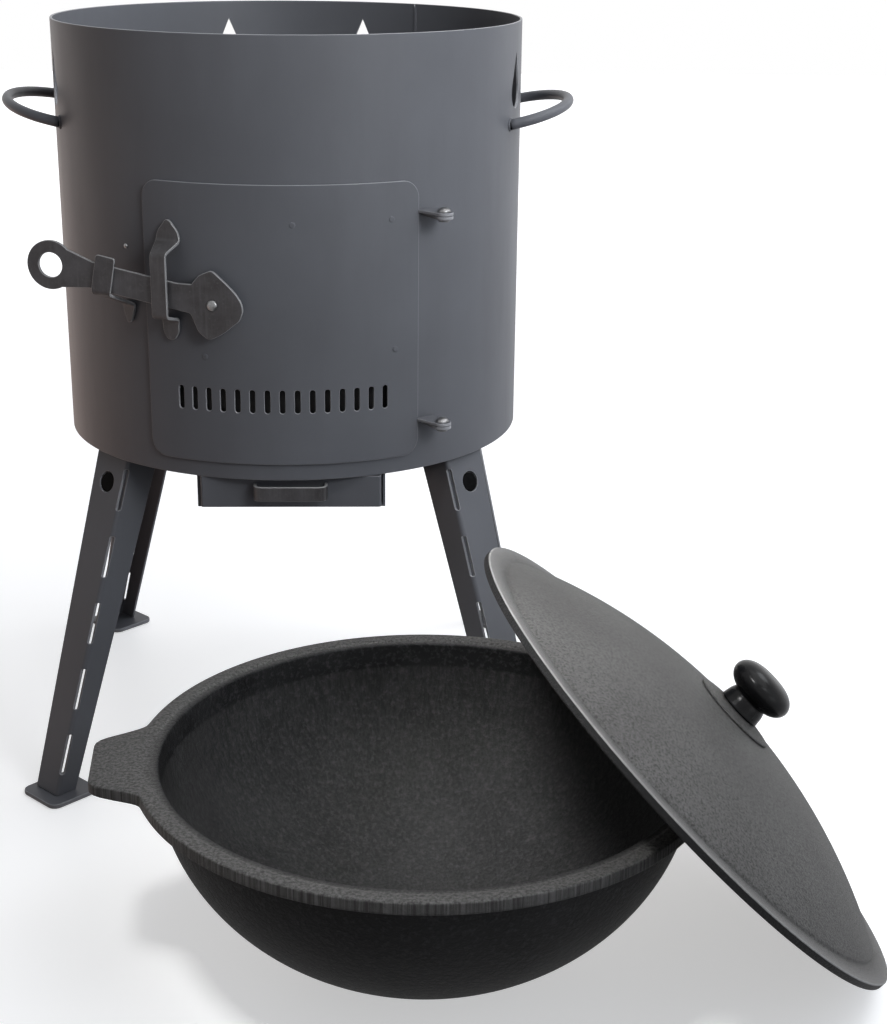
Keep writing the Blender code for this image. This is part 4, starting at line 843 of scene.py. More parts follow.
def stove_paint():
    """Satin graphite paint: faint cloudy tone, fine orange peel, sheet edges rubbed paler, which also
    stands as a painted edge highlight.
    """
    made, tree, shader, place, wear_and_painted_light = new_finish("stove_paint", 0.0, 0.2)
    cloud = noise(tree, place, 7.0, 5.0, 0.55)
    streak = noise(tree, stretched(tree, place, (26.0, 26.0, 4.0)), 1.0, 4.0, 0.6)
    grain = noise(tree, place, 900.0, 2.0)
    tone = over(tree, cloud, 0.3, 0.7, 1.0, (0.090, 0.092, 0.101), (0.108, 0.111, 0.122))
    tone = over(tree, streak, 0.45, 0.75, 0.35, tone, (0.080, 0.079, 0.085))
    # Rubbed edges, paler, which also stand as painted edge highlights.
    tone = over(tree, wear_and_painted_light, 0.0, 1.0, 0.75, tone, (0.30, 0.30, 0.31))
    rough = ranged(tree, streak, 0.3, 0.7, 0.40, 0.47)
    return coated(made, shader, tone, rough, [(cloud, PAINT_CLOUD_RISE), (grain, PAINT_PEEL_RISE)])


def latch_steel():
    """Dark mill-scale steel: brown and blue mottling, pale rubbed edges that also stand as painted edge
    highlights.
    """
    made, tree, shader, place, wear_and_painted_light = new_finish("latch_steel", 0.25)
    patch = noise(tree, place, 45.0, 6.0, 0.6)
    fine = noise(tree, place, 420.0, 4.0, 0.6)
    streak = noise(tree, stretched(tree, place, (330.0, 330.0, 16.0)), 1.0, 3.0, 0.6)
    tone = over(tree, patch, 0.35, 0.65, 1.0, (0.043, 0.040, 0.041), (0.072, 0.069, 0.072))
    tone = over(tree, streak, 0.5, 0.72, 0.3, tone, (0.11, 0.108, 0.112))
    tone = over(tree, fine, 0.55, 0.8, 0.4, tone, (0.12, 0.117, 0.118))
    # Pale rubbed edges, which also stand as painted edge highlights.
    tone = over(tree, wear_and_painted_light, 0.0, 1.0, 0.6, tone, (0.36, 0.36, 0.36))
    rough = ranged(tree, patch, 0.3, 0.7, 0.38, 0.52)
    return coated(made, shader, tone, rough, [(patch, SCALE_PATCH_RISE), (fine, SCALE_FINE_RISE)])


def bare_steel():
    """Bare satin steel with fine turning marks."""
    made, tree, shader, place, _ = new_finish("bare_steel", 0.9)
    fine = noise(tree, place, 600.0, 3.0)
    tone = over(tree, fine, 0.3, 0.7, 1.0, (0.17, 0.17, 0.17), (0.25, 0.25, 0.255))
    rough = ranged(tree, fine, 0.3, 0.7, 0.28, 0.4)
    return coated(made, shader, tone, rough, [(fine, TURNING_RISE)])


def sooty_steel():
    """Matt black heat-proof steel, a little dusty."""
    made, tree, shader, place, _ = new_finish("sooty_steel")
    dust = noise(tree, place, 60.0, 6.0, 0.65)
    tone = over(tree, dust, 0.4, 0.75, 1.0, (0.030, 0.029, 0.029), (0.062, 0.059, 0.056))
    rough = ranged(tree, dust, 0.3, 0.7, 0.62, 0.8)
    return coated(made, shader, tone, rough, [(dust, SOOT_RISE)])


def rough_iron():
    """Black oiled iron as cast: pebbled all over, greyer where the attribute says it was ground, and a
    little greyer inside the bowl as a painted sheen.
    """
    made, tree, shader, place, wear_and_painted_light = new_finish("rough_iron", 0.0, 0.09)
    pebble = noise(tree, place, 260.0, 6.0, 0.62)
    sand = noise(tree, place, 900.0, 3.0, 0.6)
    broad = noise(tree, place, 24.0, 3.0)
    marks = noise(tree, stretched(tree, place, (420.0, 420.0, 12.0)), 1.0, 3.0, 0.7)
    dark = over(tree, broad, 0.35, 0.65, 1.0, (0.008, 0.008, 0.0084), (0.015, 0.015, 0.0154))
    dark = over(tree, pebble, 0.5, 0.72, 0.7, dark, (0.048, 0.048, 0.049))
    ground_and_sheen = over(tree, marks, 0.38, 0.62, 1.0, (0.036, 0.035, 0.034), (0.092, 0.090, 0.087))
    # The ground tone also lays a painted sheen inside the bowl, at a share.
    tone = blended(tree, wear_and_painted_light, dark, ground_and_sheen)
    rough = ranged(tree, pebble, 0.3, 0.7, 0.52, 0.66)
    return coated(made, shader, tone, rough, [(pebble, PEBBLE_RISE), (sand, SAND_RISE)])


def lid_iron():
    """Grey fine-grained iron, oiled: small pits, a paler ground edge that also stands as a painted edge
    highlight, and painted shade, near black, where the attribute is under zero: on the underside and below
    the edge."""
    made, tree, shader, place, wear_and_painted_light = new_finish("lid_iron", 0.0, 0.15)
    grain = noise(tree, place, 560.0, 5.0, 0.62)
    broad = noise(tree, place, 16.0, 3.0)
    tone = over(tree, broad, 0.35, 0.65, 1.0, (0.069, 0.067, 0.065), (0.087, 0.085, 0.082))
    tone = blended(tree, ranged(tree, grain, 0.36, 0.53, 1.0, 0.0), tone, (0.030, 0.029, 0.028))
    tone = over(tree, grain, 0.56, 0.70, 0.6, tone, (0.130, 0.127, 0.123))
    # The pale ground edge, which also stands as a painted edge highlight.
    tone = over(tree, wear_and_painted_light, 0.0, 1.0, 0.8, tone, (0.30, 0.295, 0.287))
    # Painted shade: near black where the attribute is under zero, on the lid's underside and below its
    # edge.
    tone = blended(tree, ranged(tree, wear_and_painted_light, -1.0, 0.0, 1.0, 0.0), tone, (0.014, 0.014, 0.0145))
    rough = ranged(tree, grain, 0.3, 0.7, 0.48, 0.6)
    return coated(made, shader, tone, rough, [(grain, LID_GRAIN_RISE), (broad, LID_WAVE_RISE)])


def knob_black():
    """Black half-gloss moulding."""
    made, tree, shader, place, _ = new_finish("knob_black", 0.0, 0.14)
    fine = noise(tree, place, 500.0, 3.0)
    broad = noise(tree, place, 60.0, 2.0)
    tone = over(tree, broad, 0.3, 0.7, 1.0, (0.004, 0.004, 0.0045), (0.008, 0.008, 0.0085))
    rough = ranged(tree, broad, 0.3, 0.7, 0.20, 0.30)
    return coated(made, shader, tone, rough, [(fine, KNOB_FINE_RISE), (broad, KNOB_WAVE_RISE)])


def painted_hole_shade():
    """Painted shade: dead black laid on the stud in each leg's hole, for the shadow inside the hole, with
    a little dust.
    """
    made, tree, shader, place, _ = new_finish("painted_hole_shade", 0.0, 0.05)
    dust = noise(tree, place, 300.0, 4.0)
    tone = over(tree, dust, 0.4, 0.7, 1.0, (0.0015, 0.0015, 0.0015), (0.005, 0.005, 0.005))
    rough = ranged(tree, dust, 0.3, 0.7, 0.75, 0.9)
    return coated(made, shader, tone, rough, [(dust, HOLE_SHADE_DUST_RISE)])


PAINT = stove_paint()
LATCH = latch_steel()
BARE = bare_steel()
SOOT = sooty_steel()
IRON = rough_iron()
LID = lid_iron()
KNOB = knob_black()
HOLE_SHADE = painted_hole_shade()


def piece(name, shape, finish, body, *stands_for):
    """Puts a shape in the scene as a piece that rides on a body and may stand for CAD nodes."""
    points, faces, normals, wear_and_painted_light = shape
    mesh = bpy.data.meshes.new(name)
    mesh.from_pydata(points.tolist(), [], [face for group in faces for face in group.tolist()])
    mesh.polygons.foreach_set("use_smooth", np.ones(len(mesh.polygons), bool))
    attribute = mesh.attributes.new("wear_and_painted_light", "FLOAT", "POINT")
    attribute.data.foreach_set("value", wear_and_painted_light.astype(np.float32))
    mesh.normals_split_custom_set_from_vertices(normals.tolist())
    mesh.materials.append(finish)
    made = bpy.data.objects.new(name, mesh)
    bpy.context.scene.collection.objects.link(made)
    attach(made, body)
    if stands_for:
        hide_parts(*stands_for)
    return made


def refinish(finish, *names):
    """Gives CAD nodes that stay a finish from here."""
    for name in names:
        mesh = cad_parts[name].data
        mesh.materials.clear()
        mesh.materials.append(finish)


def vent_outline(azimuth, drop, radius):
    """A drop-shaped vent, its point on top, wrapped on the wall by x = r asin(s / r)."""
    foot = VENT_WIDTH / 2
    bottom = DRUM_TOP - drop - VENT_HEIGHT
    drop_shape = np.concatenate([arc((0.0, foot), foot, *VENT_TURNS, VENT_STEPS), [[0.0, VENT_HEIGHT]]])
    turn = np.arcsin(drop_shape[:, 0] / radius) + math.radians(azimuth)
    return np.stack([turn * radius, drop_shape[:, 1] + bottom], 1)


def make_drum():
    """The drum: a rolled sheet whose seam is welded at the back, with its opening and vents."""
    radius = DRUM_RADIUS - SHEET / 2
    start = math.radians(SEAM_AZIMUTH - 360.0) * radius + SEAM_GAP
    end = math.radians(SEAM_AZIMUTH) * radius - SEAM_GAP
    outline = np.array([[start, DRUM_BOTTOM], [end, DRUM_BOTTOM], [end, DRUM_TOP], [start, DRUM_TOP]])
    half_x = DRUM_RADIUS * math.sin(math.radians(DOOR_HALF_ANGLE)) - DOOR_LAP
    half_z = (DOOR_TOP - DOOR_BOTTOM) / 2 - DOOR_LAP
    opening = rounded_rectangle(half_x, half_z, DOOR_CORNER)
    opening = divided(opening, WALL_STEP)
    opening[:, 0] = np.arcsin(opening[:, 0] / radius) * radius
    opening[:, 1] += (DOOR_TOP + DOOR_BOTTOM) / 2
    holes = [opening]
    for azimuth, drop in VENT_PLACES:
        wrapped = vent_outline(azimuth, drop, radius)
        if azimuth > SEAM_AZIMUTH:
            wrapped[:, 0] -= math.tau * radius
        holes.append(wrapped)
    shell = plate(outline, holes, over_wall(radius), SHEET, SHEET_EDGE, WALL_STEP)
    piece("drum_wall", shell, PAINT, "stove_body", "drum_shell")
    heights = np.linspace(DRUM_BOTTOM + SHEET, DRUM_TOP - SHEET, SEAM_STEPS)
    for name, side, reach in (("outside", 1.0, DRUM_RADIUS), ("inside", -1.0, DRUM_RADIUS - SHEET)):
        path = STOVE + outward(SEAM_AZIMUTH) * (reach - side * SHEET / 8) + UP * heights[:, None]
        outs = np.tile(outward(SEAM_AZIMUTH) * side, (len(heights), 1))
        piece("drum_seam_" + name, bead(path, outs, SHEET, SHEET / 3), PAINT, "stove_body")


def make_door():
    """The door: a curved sheet with round corners, a row of air slots and flush rivets."""
    radius = DRUM_RADIUS + GAP + SHEET / 2
    half_x = math.radians(DOOR_HALF_ANGLE) * radius
    half_z = (DOOR_TOP - DOOR_BOTTOM) / 2
    middle = (DOOR_TOP + DOOR_BOTTOM) / 2
    outline = rounded_rectangle(half_x, half_z, DOOR_CORNER, 10) + [0.0, middle]
    azimuths = np.linspace(-AIR_SLOT_HALF_SPREAD, AIR_SLOT_HALF_SPREAD, AIR_SLOT_COUNT)
    slot = rounded_rectangle(AIR_SLOT_WIDTH / 2, AIR_SLOT_HEIGHT / 2, AIR_SLOT_WIDTH / SLOT_END_DIVISOR)
    slot_height = DOOR_BOTTOM + AIR_SLOT_INSET
    holes = [slot + [math.radians(azimuth) * radius, slot_height] for azimuth in azimuths]
    sheet = plate(outline, holes, over_wall(radius), SHEET, SHEET_EDGE, WALL_STEP)
    piece("door_sheet", sheet, PAINT, "door_body", "door_panel")
    for number, (azimuth, height) in enumerate(RIVET_PLACES):
        place = wall_frame(azimuth, radius + SHEET / 2, height)
        small_rivet("shield_rivet_face_%d" % (number + 1), RIVET_RISE, place, "door_body")


def small_rivet(name, rise, place, body):
    """A low domed rivet head set a little into its sheet."""
    foot = -SHEET / 4
    head = dome(RIVET_RADIUS, 0.0, rise, RIVET_STEPS)
    profile = np.concatenate([head, [[RIVET_RADIUS, foot], [0.0, foot]]])
    piece(name, turned(profile, PIN_TURN_STEPS, place), BARE, body)


def hinge_origin(height):
    """The hinge pins' axis at a height."""
    return wall_point(HINGE_AZIMUTH, DRUM_RADIUS + HINGE_STANDOFF, height)


def level_place(origin, direction):
    """A level frame: X along a direction, Z up."""
    return origin, direction, np.cross(UP, direction), UP


def make_hinges():
    """Two pairs of level lugs, the door's above the drum's, and a domed pin through each pair."""
    out = outward(HINGE_AZIMUTH)
    right = np.cross(UP, out)
    hole = circle((0.0, 0.0), PIN_RADIUS + GAP, LUG_HOLE_STEPS)
    reach = HINGE_STANDOFF - GAP
    drum_lug = np.concatenate([
        [[-reach, -DRUM_LUG_NEAR_HALF]],
        arc((0.0, 0.0), LUG_HALF_WIDTH, -90.0, 90.0 + LUG_TURN_START / 2, LUG_ARC_STEPS),
        [[-reach, DRUM_LUG_FAR_HALF]],
    ])
    inner = DRUM_RADIUS + GAP + SHEET / 4
    start = DOOR_HALF_ANGLE - LUG_ROOT_ANGLE
    wall = outward(np.linspace(start, HINGE_AZIMUTH, 8)) * inner - out * (DRUM_RADIUS + HINGE_STANDOFF)
    wall = np.stack([wall @ out, wall @ right], 1)
    shoulder = arc((0.0, 0.0), DRUM_RADIUS + HINGE_STANDOFF - inner, 180.0, 180.0 + LUG_SHOULDER_TURN, 6)
    nose = arc((0.0, 0.0), LUG_HALF_WIDTH, 180.0 + LUG_TURN_START, 180.0 + LUG_TURN_END, LUG_NOSE_STEPS)
    fold = outward(start) * (inner + SHEET / 2) - out * (DRUM_RADIUS + HINGE_STANDOFF)
    door_lug = np.concatenate([wall[:-1], shoulder, nose, [[fold @ out, fold @ right]]])
    heights = (("lower", DOOR_BOTTOM + HINGE_LOWER_INSET), ("upper", DOOR_TOP - HINGE_UPPER_INSET))
    for name, height in heights:
        spread = over_plane(level_place(hinge_origin(height - GAP - LUG_SHEET / 2), out))
        shape = plate(drum_lug, [hole], spread, LUG_SHEET, LUG_EDGE, SMALL_STEP)
        piece("drum_hinge_lug_" + name, shape, PAINT, "stove_body", "hinge_lug_" + name)
        spread = over_plane(level_place(hinge_origin(height + LUG_SHEET / 2), out))
        shape = plate(door_lug, [hole], spread, LUG_SHEET, LUG_EDGE, SMALL_STEP)
        piece("door_hinge_lug_" + name, shape, PAINT, "door_body")
        base = LUG_SHEET + GAP
        foot = -GAP * 2 - LUG_SHEET
        head = dome(PIN_HEAD_RADIUS, base, PIN_HEAD_HEIGHT, HEAD_STEPS)
        shank = [
            (PIN_HEAD_RADIUS * PIN_HEAD_SHARES[0], base),
            (PIN_RADIUS, base),
            (PIN_RADIUS, foot),
            (PIN_HEAD_RADIUS * PIN_HEAD_SHARES[1], foot),
            (PIN_HEAD_RADIUS * PIN_HEAD_SHARES[2], foot - PIN_HEAD_HEIGHT / 2),
            (0.0, foot - PIN_HEAD_HEIGHT / 2),
        ]
        profile = np.concatenate([head, softened(shank, LUG_EDGE, closed=False, steps=3)])
        shape = turned(profile, PIN_TURN_STEPS, level_place(hinge_origin(height), out))
        piece("hinge_rivet_" + name, shape, BARE, "stove_body", "hinge_pin_" + name)


def bar_outline():
    """The latch bar flat: a leaf-shaped head, a straight shank and a ring on a widening neck."""
    head = softened(np.array(HEAD_TOP + HEAD_BOTTOM), HEAD_FILLET, closed=False, steps=4)
    ring = arc((-RING_DISTANCE, 0.0), RING_RADIUS, -RING_NECK_ANGLE, RING_NECK_ANGLE - 360.0, RING_STEPS)
    neck = NECK_LENGTH - RING_DISTANCE
    lower = [(HEAD_BOTTOM[-1][0], -BAR_HALF_HEIGHT), (neck, -BAR_HALF_HEIGHT)]
    upper = [(neck, BAR_HALF_HEIGHT), (HEAD_ROOT_X, BAR_HALF_HEIGHT)]
    return np.concatenate([head, lower[1:], ring, upper])


def make_latch():
    """The latch bar and the domed rivet that it turns on."""
    holes = [circle((-RING_DISTANCE, 0.0), RING_HOLE_RADIUS, RING_HOLE_STEPS)]
    outline = bar_outline()
    bar = plate(outline, holes, over_plane(latch_frame()), BAR_THICKNESS, BAR_EDGE, SMALL_STEP)
    piece("latch_lever", bar, LATCH, "latch_body", "latch_bar")
    face = BAR_THICKNESS / 2 + GAP
    back = GAP + SHEET - LATCH_STANDOFF
    head = dome(PIVOT_HEAD_RADIUS, face, PIVOT_HEAD_HEIGHT, HEAD_STEPS)
    collar = PIVOT_HEAD_RADIUS * PIVOT_COLLAR_SHARE
    stem = [
        (PIVOT_HEAD_RADIUS, face),
        (PIVOT_RADIUS - GAP, face),
        (PIVOT_RADIUS - GAP, -face),
        (collar, -face),
        (collar, back),
        (0.0, back),
    ]
    profile = np.concatenate([head, softened(stem, GAP, closed=False, steps=3)])
    piece("latch_rivet", turned(profile, PIN_TURN_STEPS, latch_frame()), BARE, "door_body", "latch_pivot")


def make_guide():
    """The strap that holds the bar on the door: two leaves, two slopes and a face."""
    near = DRUM_RADIUS + SHEET + 2 * GAP + STRAP_SHEET / 2
    far = DRUM_RADIUS + SHEET + GAP + GUIDE_STANDOFF - STRAP_SHEET / 2
    stops = [
        (near, GUIDE_FACE_TOP + GUIDE_SLOPE_RISE + GUIDE_LEAF_REACH),
        (near, GUIDE_FACE_TOP + GUIDE_SLOPE_RISE),
        (far, GUIDE_FACE_TOP),
        (far, GUIDE_FACE_BOTTOM),
        (near, GUIDE_FACE_BOTTOM - GUIDE_SLOPE_RISE / 2),
        (near, GUIDE_FACE_BOTTOM - GUIDE_SLOPE_RISE / 2 - GUIDE_LEAF_REACH),
    ]
    path = [wall_point(GUIDE_AZIMUTH, radius, height) for radius, height in stops]
    spread, marks = over_folds(path, [sideways(GUIDE_AZIMUTH)] * len(path), STRAP_BEND)
    along, wide = GUIDE_SWELL_SHARES
    stations = [
        (marks[0], GUIDE_HALF_WIDTH * GUIDE_TIP_SHARE),
        (marks[0] + GUIDE_LEAF_REACH * along, GUIDE_LEAF_HALF_WIDTH * wide),
        (marks[1], GUIDE_LEAF_HALF_WIDTH),
        (marks[2] - STRAP_BEND / 2, GUIDE_HALF_WIDTH),
        (marks[3] + STRAP_BEND / 2, GUIDE_HALF_WIDTH),
        (marks[4], GUIDE_HALF_WIDTH * GUIDE_FOOT_SHARES[0]),
        (marks[4] + GUIDE_LEAF_REACH * GUIDE_TAPER_SHARE, GUIDE_HALF_WIDTH),
        (marks[5], GUIDE_HALF_WIDTH * GUIDE_FOOT_SHARES[1]),
    ]
    piece("latch_guide_strap", strap(stations, spread, STRAP_SHEET), LATCH, "door_body", "latch_guide")


def make_keeper():
    """The hook on the drum: a lip before the bar, a sloping web below it and a leaf on the wall."""
    place = latch_frame()
    half = STRAP_SHEET / 2
    lip_face = BAR_THICKNESS / 2 + GAP + half
    foot_drop = -BAR_HALF_HEIGHT - GAP - half
    top = placed(np.array([-KEEPER_SHIFT, BAR_HALF_HEIGHT + KEEPER_LIP_ABOVE_BAR, lip_face]), place)
    foot = placed(np.array([-KEEPER_SHIFT, foot_drop, lip_face]), place)
    flat = foot - STOVE
    azimuth = math.degrees(math.atan2(flat[0], -flat[1]))
    near = DRUM_RADIUS + 2 * GAP + half
    web_end = foot[2] - KEEPER_WEB_DROP
    leaf = [wall_point(azimuth, near, height) for height in (web_end, web_end - KEEPER_LEAF_REACH)]
    path = [top, foot, *leaf]
    level = sideways(azimuth)
    spread, marks = over_folds(path, [place[1], place[1], level, level], STRAP_BEND)
    stations = [
        (marks[0], KEEPER_HALF_WIDTH),
        (marks[1], KEEPER_HALF_WIDTH),
        (marks[2], KEEPER_HALF_WIDTH * KEEPER_LEAF_SHARES[0]),
        (marks[2] + KEEPER_LEAF_REACH / 2, KEEPER_HALF_WIDTH * KEEPER_LEAF_SHARES[1]),
        (marks[3], KEEPER_HALF_WIDTH * KEEPER_LEAF_SHARES[2]),
    ]
    piece("latch_keeper_hook", strap(stations, spread, STRAP_SHEET), LATCH, "stove_body", "latch_keeper")


def make_side_handles():
    """Two round-bar loops: short arms and half an ellipse that rises to its tip, welded to the wall."""
    root = math.sqrt(DRUM_RADIUS ** 2 - (HANDLE_HALF_WIDTH + HANDLE_SETBACK) ** 2)
    turn = np.radians(np.linspace(-90.0, 90.0, HANDLE_ARCH_STEPS))
    x = HANDLE_ARCH_START + HANDLE_ARCH_REACH * np.cos(turn)
    y = HANDLE_HALF_WIDTH * np.sin(turn)
    arms = np.linspace(root, HANDLE_ARCH_START, HANDLE_ARM_STEPS, endpoint=False)
    x = np.concatenate([arms, x, arms[::-1]])
    across = np.full(HANDLE_ARM_STEPS, HANDLE_HALF_WIDTH)
    y = np.concatenate([-across, y, across])
    z = HANDLE_HEIGHT + HANDLE_TIP_RISE * (x - HANDLE_ARCH_START) / HANDLE_ARCH_REACH
    beyond = np.hypot(x, y + HANDLE_SETBACK) > DRUM_RADIUS - SHEET / 4
    for name, side in (("right", 1.0), ("left", -1.0)):
        path = STOVE + np.stack([side * x, y + HANDLE_SETBACK, z], 1)[beyond]
        shape = rod(path, HANDLE_ROD_RADIUS, ROD_STEPS)
        piece("carry_handle_" + name, shape, PAINT, "stove_body", "side_handle_" + name)
        for number, index in enumerate((0, -1)):
            centre = path[index]
            flat = centre - STOVE
            out = unit(flat * [1.0, 1.0, 0.0])
            right = np.cross(UP, out)
            around = np.linspace(0.0, math.tau, WELD_AROUND_STEPS + 1)
            ripple = 1 + WELD_RIPPLE_SHARE * np.sin(around * WELD_RIPPLES)
            ring = np.linspace(0.0, math.tau, WELD_TUBE_STEPS + 1)
            tube = HANDLE_ROD_RADIUS * WELD_TUBE_SHARE * ripple[:, None]
            reach = HANDLE_ROD_RADIUS * WELD_REACH_SHARE + tube * np.cos(ring)
            local = np.stack([
                reach * np.cos(around)[:, None],
                reach * np.sin(around)[:, None],
                tube * np.sin(ring),
            ], -1)[:-1, :-1]
            seat = STOVE + out * (DRUM_RADIUS + GAP) + UP * centre[2]
            collar = carried(placed(local, (seat, right, UP, out)), True, True)
            piece("handle_weld_%s_%d" % (name, number + 1), collar, PAINT, "stove_body")


def make_drawer():
    """The ash drawer, a folded tray, and the bent strap on its front."""
    half_x = DRAWER_HALF_WIDTH
    half_y = (DRAWER_BACK - DRAWER_FRONT) / 2
    edge = DRAWER_EDGE
    soft = edge * DRAWER_SOFT_SHARE
    inner = DRAWER_SHEET
    floor = DRAWER_BOTTOM + inner
    levels = [
        (edge, DRAWER_BOTTOM),
        (soft, DRAWER_BOTTOM + soft),
        (0.0, DRAWER_BOTTOM + edge),
        (0.0, DRAWER_TOP - edge),
        (soft, DRAWER_TOP - soft),
        (edge, DRAWER_TOP),
        (inner - edge, DRAWER_TOP),
        (inner - soft, DRAWER_TOP - soft),
        (inner, DRAWER_TOP - edge),
        (inner, floor + edge),
        (inner + soft, floor + soft),
        (inner + edge, floor),
    ]
    rings = []
    for inset, height in levels:
        corner = max(DRAWER_CORNER - inset, DRAWER_CORNER / 4)
        loop = rounded_rectangle(half_x - inset, half_y - inset, corner)
        rings.append(np.column_stack([loop, np.full(len(loop), height)]))
    for index, height in ((0, DRAWER_BOTTOM), (len(rings) + 1, floor)):
        rings.insert(index, np.tile([0.0, 0.0, height], (len(rings[1]), 1)))
    wear_and_painted_light = np.zeros((len(rings), len(rings[0])))
    # The tray's top rims get 1: rubbed paint that also stands as a painted edge highlight.
    wear_and_painted_light[[5, 8]] = 1.0
    centre = STOVE + [DRAWER_CENTRE, (DRAWER_BACK + DRAWER_FRONT) / 2, 0.0]
    tray = carried(np.stack(rings) + centre, False, True, wear_and_painted_light)
    piece("ash_tray", tray, PAINT, "drawer_body", "ash_drawer")

    base = DRAWER_FRONT - GAP
    face = base - PULL_REACH + STRAP_SHEET / 2
    half = PULL_HALF_WIDTH - STRAP_SHEET / 2
    middle = PULL_BOTTOM + PULL_HEIGHT / 2
    corners = ((half, base), (half, face), (-half, face), (-half, base))
    stops = np.array([(x, y, middle) for x, y in corners]) + STOVE + [DRAWER_CENTRE, 0.0, 0.0]
    spread, marks = over_folds(stops, [UP] * len(stops), PULL_CORNER)
    stations = [(marks[0], PULL_HEIGHT / 2), (marks[-1], PULL_HEIGHT / 2)]
    piece("drawer_pull_strap", strap(stations, spread, STRAP_SHEET), LATCH, "drawer_body", "drawer_pull")


def leg_fold(height):
    """The leg's outer fold line at heights, for the right-hand front leg, about the drum's axis."""
    share = np.asarray(height) / LEG_TOP
    radius = LEG_FOOT_RADIUS + (LEG_TOP_RADIUS - LEG_FOOT_RADIUS) * share
    return outward(LEG_AZIMUTH) * radius[..., None] + UP * np.asarray(height)[..., None]


def leg_slope():
    """The fold line's run for one unit of height."""
    return leg_fold(np.array(1.0)) - leg_fold(np.array(0.0))


def over_leg(side_x, side_y):
    """Spreads a flat shape over an angle leg: x runs from the outer flange round the fold to the inner
    one, y is the height. Round the fold, at a turn t, a level cut lies r (1 - sin t) along one flange and
    r (1 - cos t) along the other."""
    flanges = np.stack([sideways(FLANGE_AZIMUTH), -outward(FLANGE_AZIMUTH)])
    mirror = np.array([side_x, side_y, 1.0])
    slope = leg_slope()
    radius = LEG_FOLD_RADIUS

    def spread(flat):
        quarter = radius * math.pi / 2
        turn = np.clip(flat[:, 0] / radius + math.pi / 4, 0.0, math.pi / 2)
        outer = radius * (1 - np.sin(turn)) + np.maximum(-quarter / 2 - flat[:, 0], 0.0) + LEG_SHEET / 2
        inner = radius * (1 - np.cos(turn)) + np.maximum(flat[:, 0] - quarter / 2, 0.0) + LEG_SHEET / 2
        origin = leg_fold(flat[:, 1]) + outer[:, None] * flanges[0] + inner[:, None] * flanges[1]
        across = -np.cos(turn)[:, None] * flanges[0] + np.sin(turn)[:, None] * flanges[1]
        along = np.broadcast_to(unit(slope), across.shape)
        out = unit(np.cross(across, along))
        along = np.cross(out, across)
        return STOVE + origin * mirror, across * mirror, along * mirror, out * mirror
    return spread


def make_legs():
    """Four folded angle legs with their slots and hole, and their rounded foot plates."""
    quarter = LEG_FOLD_RADIUS * math.pi / 4
    off = quarter - LEG_SHEET / 2 - LEG_FOLD_RADIUS
    bottom = FOOT_THICKNESS + GAP
    outline = np.array([
        (-OUTER_FLANGE_FOOT - off, bottom),
        (INNER_FLANGE_FOOT + off, bottom),
        (INNER_FLANGE_TOP + off, LEG_TOP),
        (-OUTER_FLANGE_TOP - off, LEG_TOP),
    ])
    lean = 1 / np.linalg.norm(leg_slope())
    half_slot = LEG_SLOT_LENGTH / 2 * lean
    slot = rounded_rectangle(LEG_SLOT_WIDTH / 2, half_slot, LEG_SLOT_WIDTH / SLOT_END_DIVISOR)
    holes = []
    for index in range(LEG_SLOT_COUNT):
        drop = LEG_SLOT_FIRST + index * LEG_SLOT_PITCH + LEG_SLOT_LENGTH / 2
        holes.append(slot + [0.0, LEG_TOP - drop * lean])
    ring = circle((0.0, 0.0), LEG_HOLE_RADIUS, LEG_HOLE_STEPS) * [1.0, lean]
    holes.append(ring + [-LEG_HOLE_PLACE - off, LEG_TOP - LEG_HOLE_DROP])
    toe = (sideways(FLANGE_AZIMUTH) - outward(FLANGE_AZIMUTH)) * (FOOT_HALF_SIDE - FOOT_TOE)
    foot = leg_fold(np.array(bottom)) * [1.0, 1.0, 0.0] + toe
    sole = rounded_rectangle(FOOT_HALF_SIDE, FOOT_HALF_SIDE, FOOT_CORNER)
    corners = (("front_right", 1, 1), ("front_left", -1, 1), ("back_right", 1, -1), ("back_left", -1, -1))
    for name, side_x, side_y in corners:
        leg = plate(outline, holes, over_leg(side_x, side_y), LEG_SHEET, SHEET_EDGE, LEG_STEP)
        piece("angle_leg_" + name, leg, PAINT, "stove_body", "leg_" + name)
        mirror = np.array([side_x, side_y, 1.0])
        centre = STOVE + foot * mirror + UP * FOOT_THICKNESS / 2
        place = (centre, sideways(FLANGE_AZIMUTH) * mirror, -outward(FLANGE_AZIMUTH) * mirror, UP)
        shape = plate(sole, [], over_plane(place), FOOT_THICKNESS, FOOT_EDGE, SMALL_STEP)
        piece("foot_pad_" + name, shape, PAINT, "stove_body", "foot_plate_" + name)


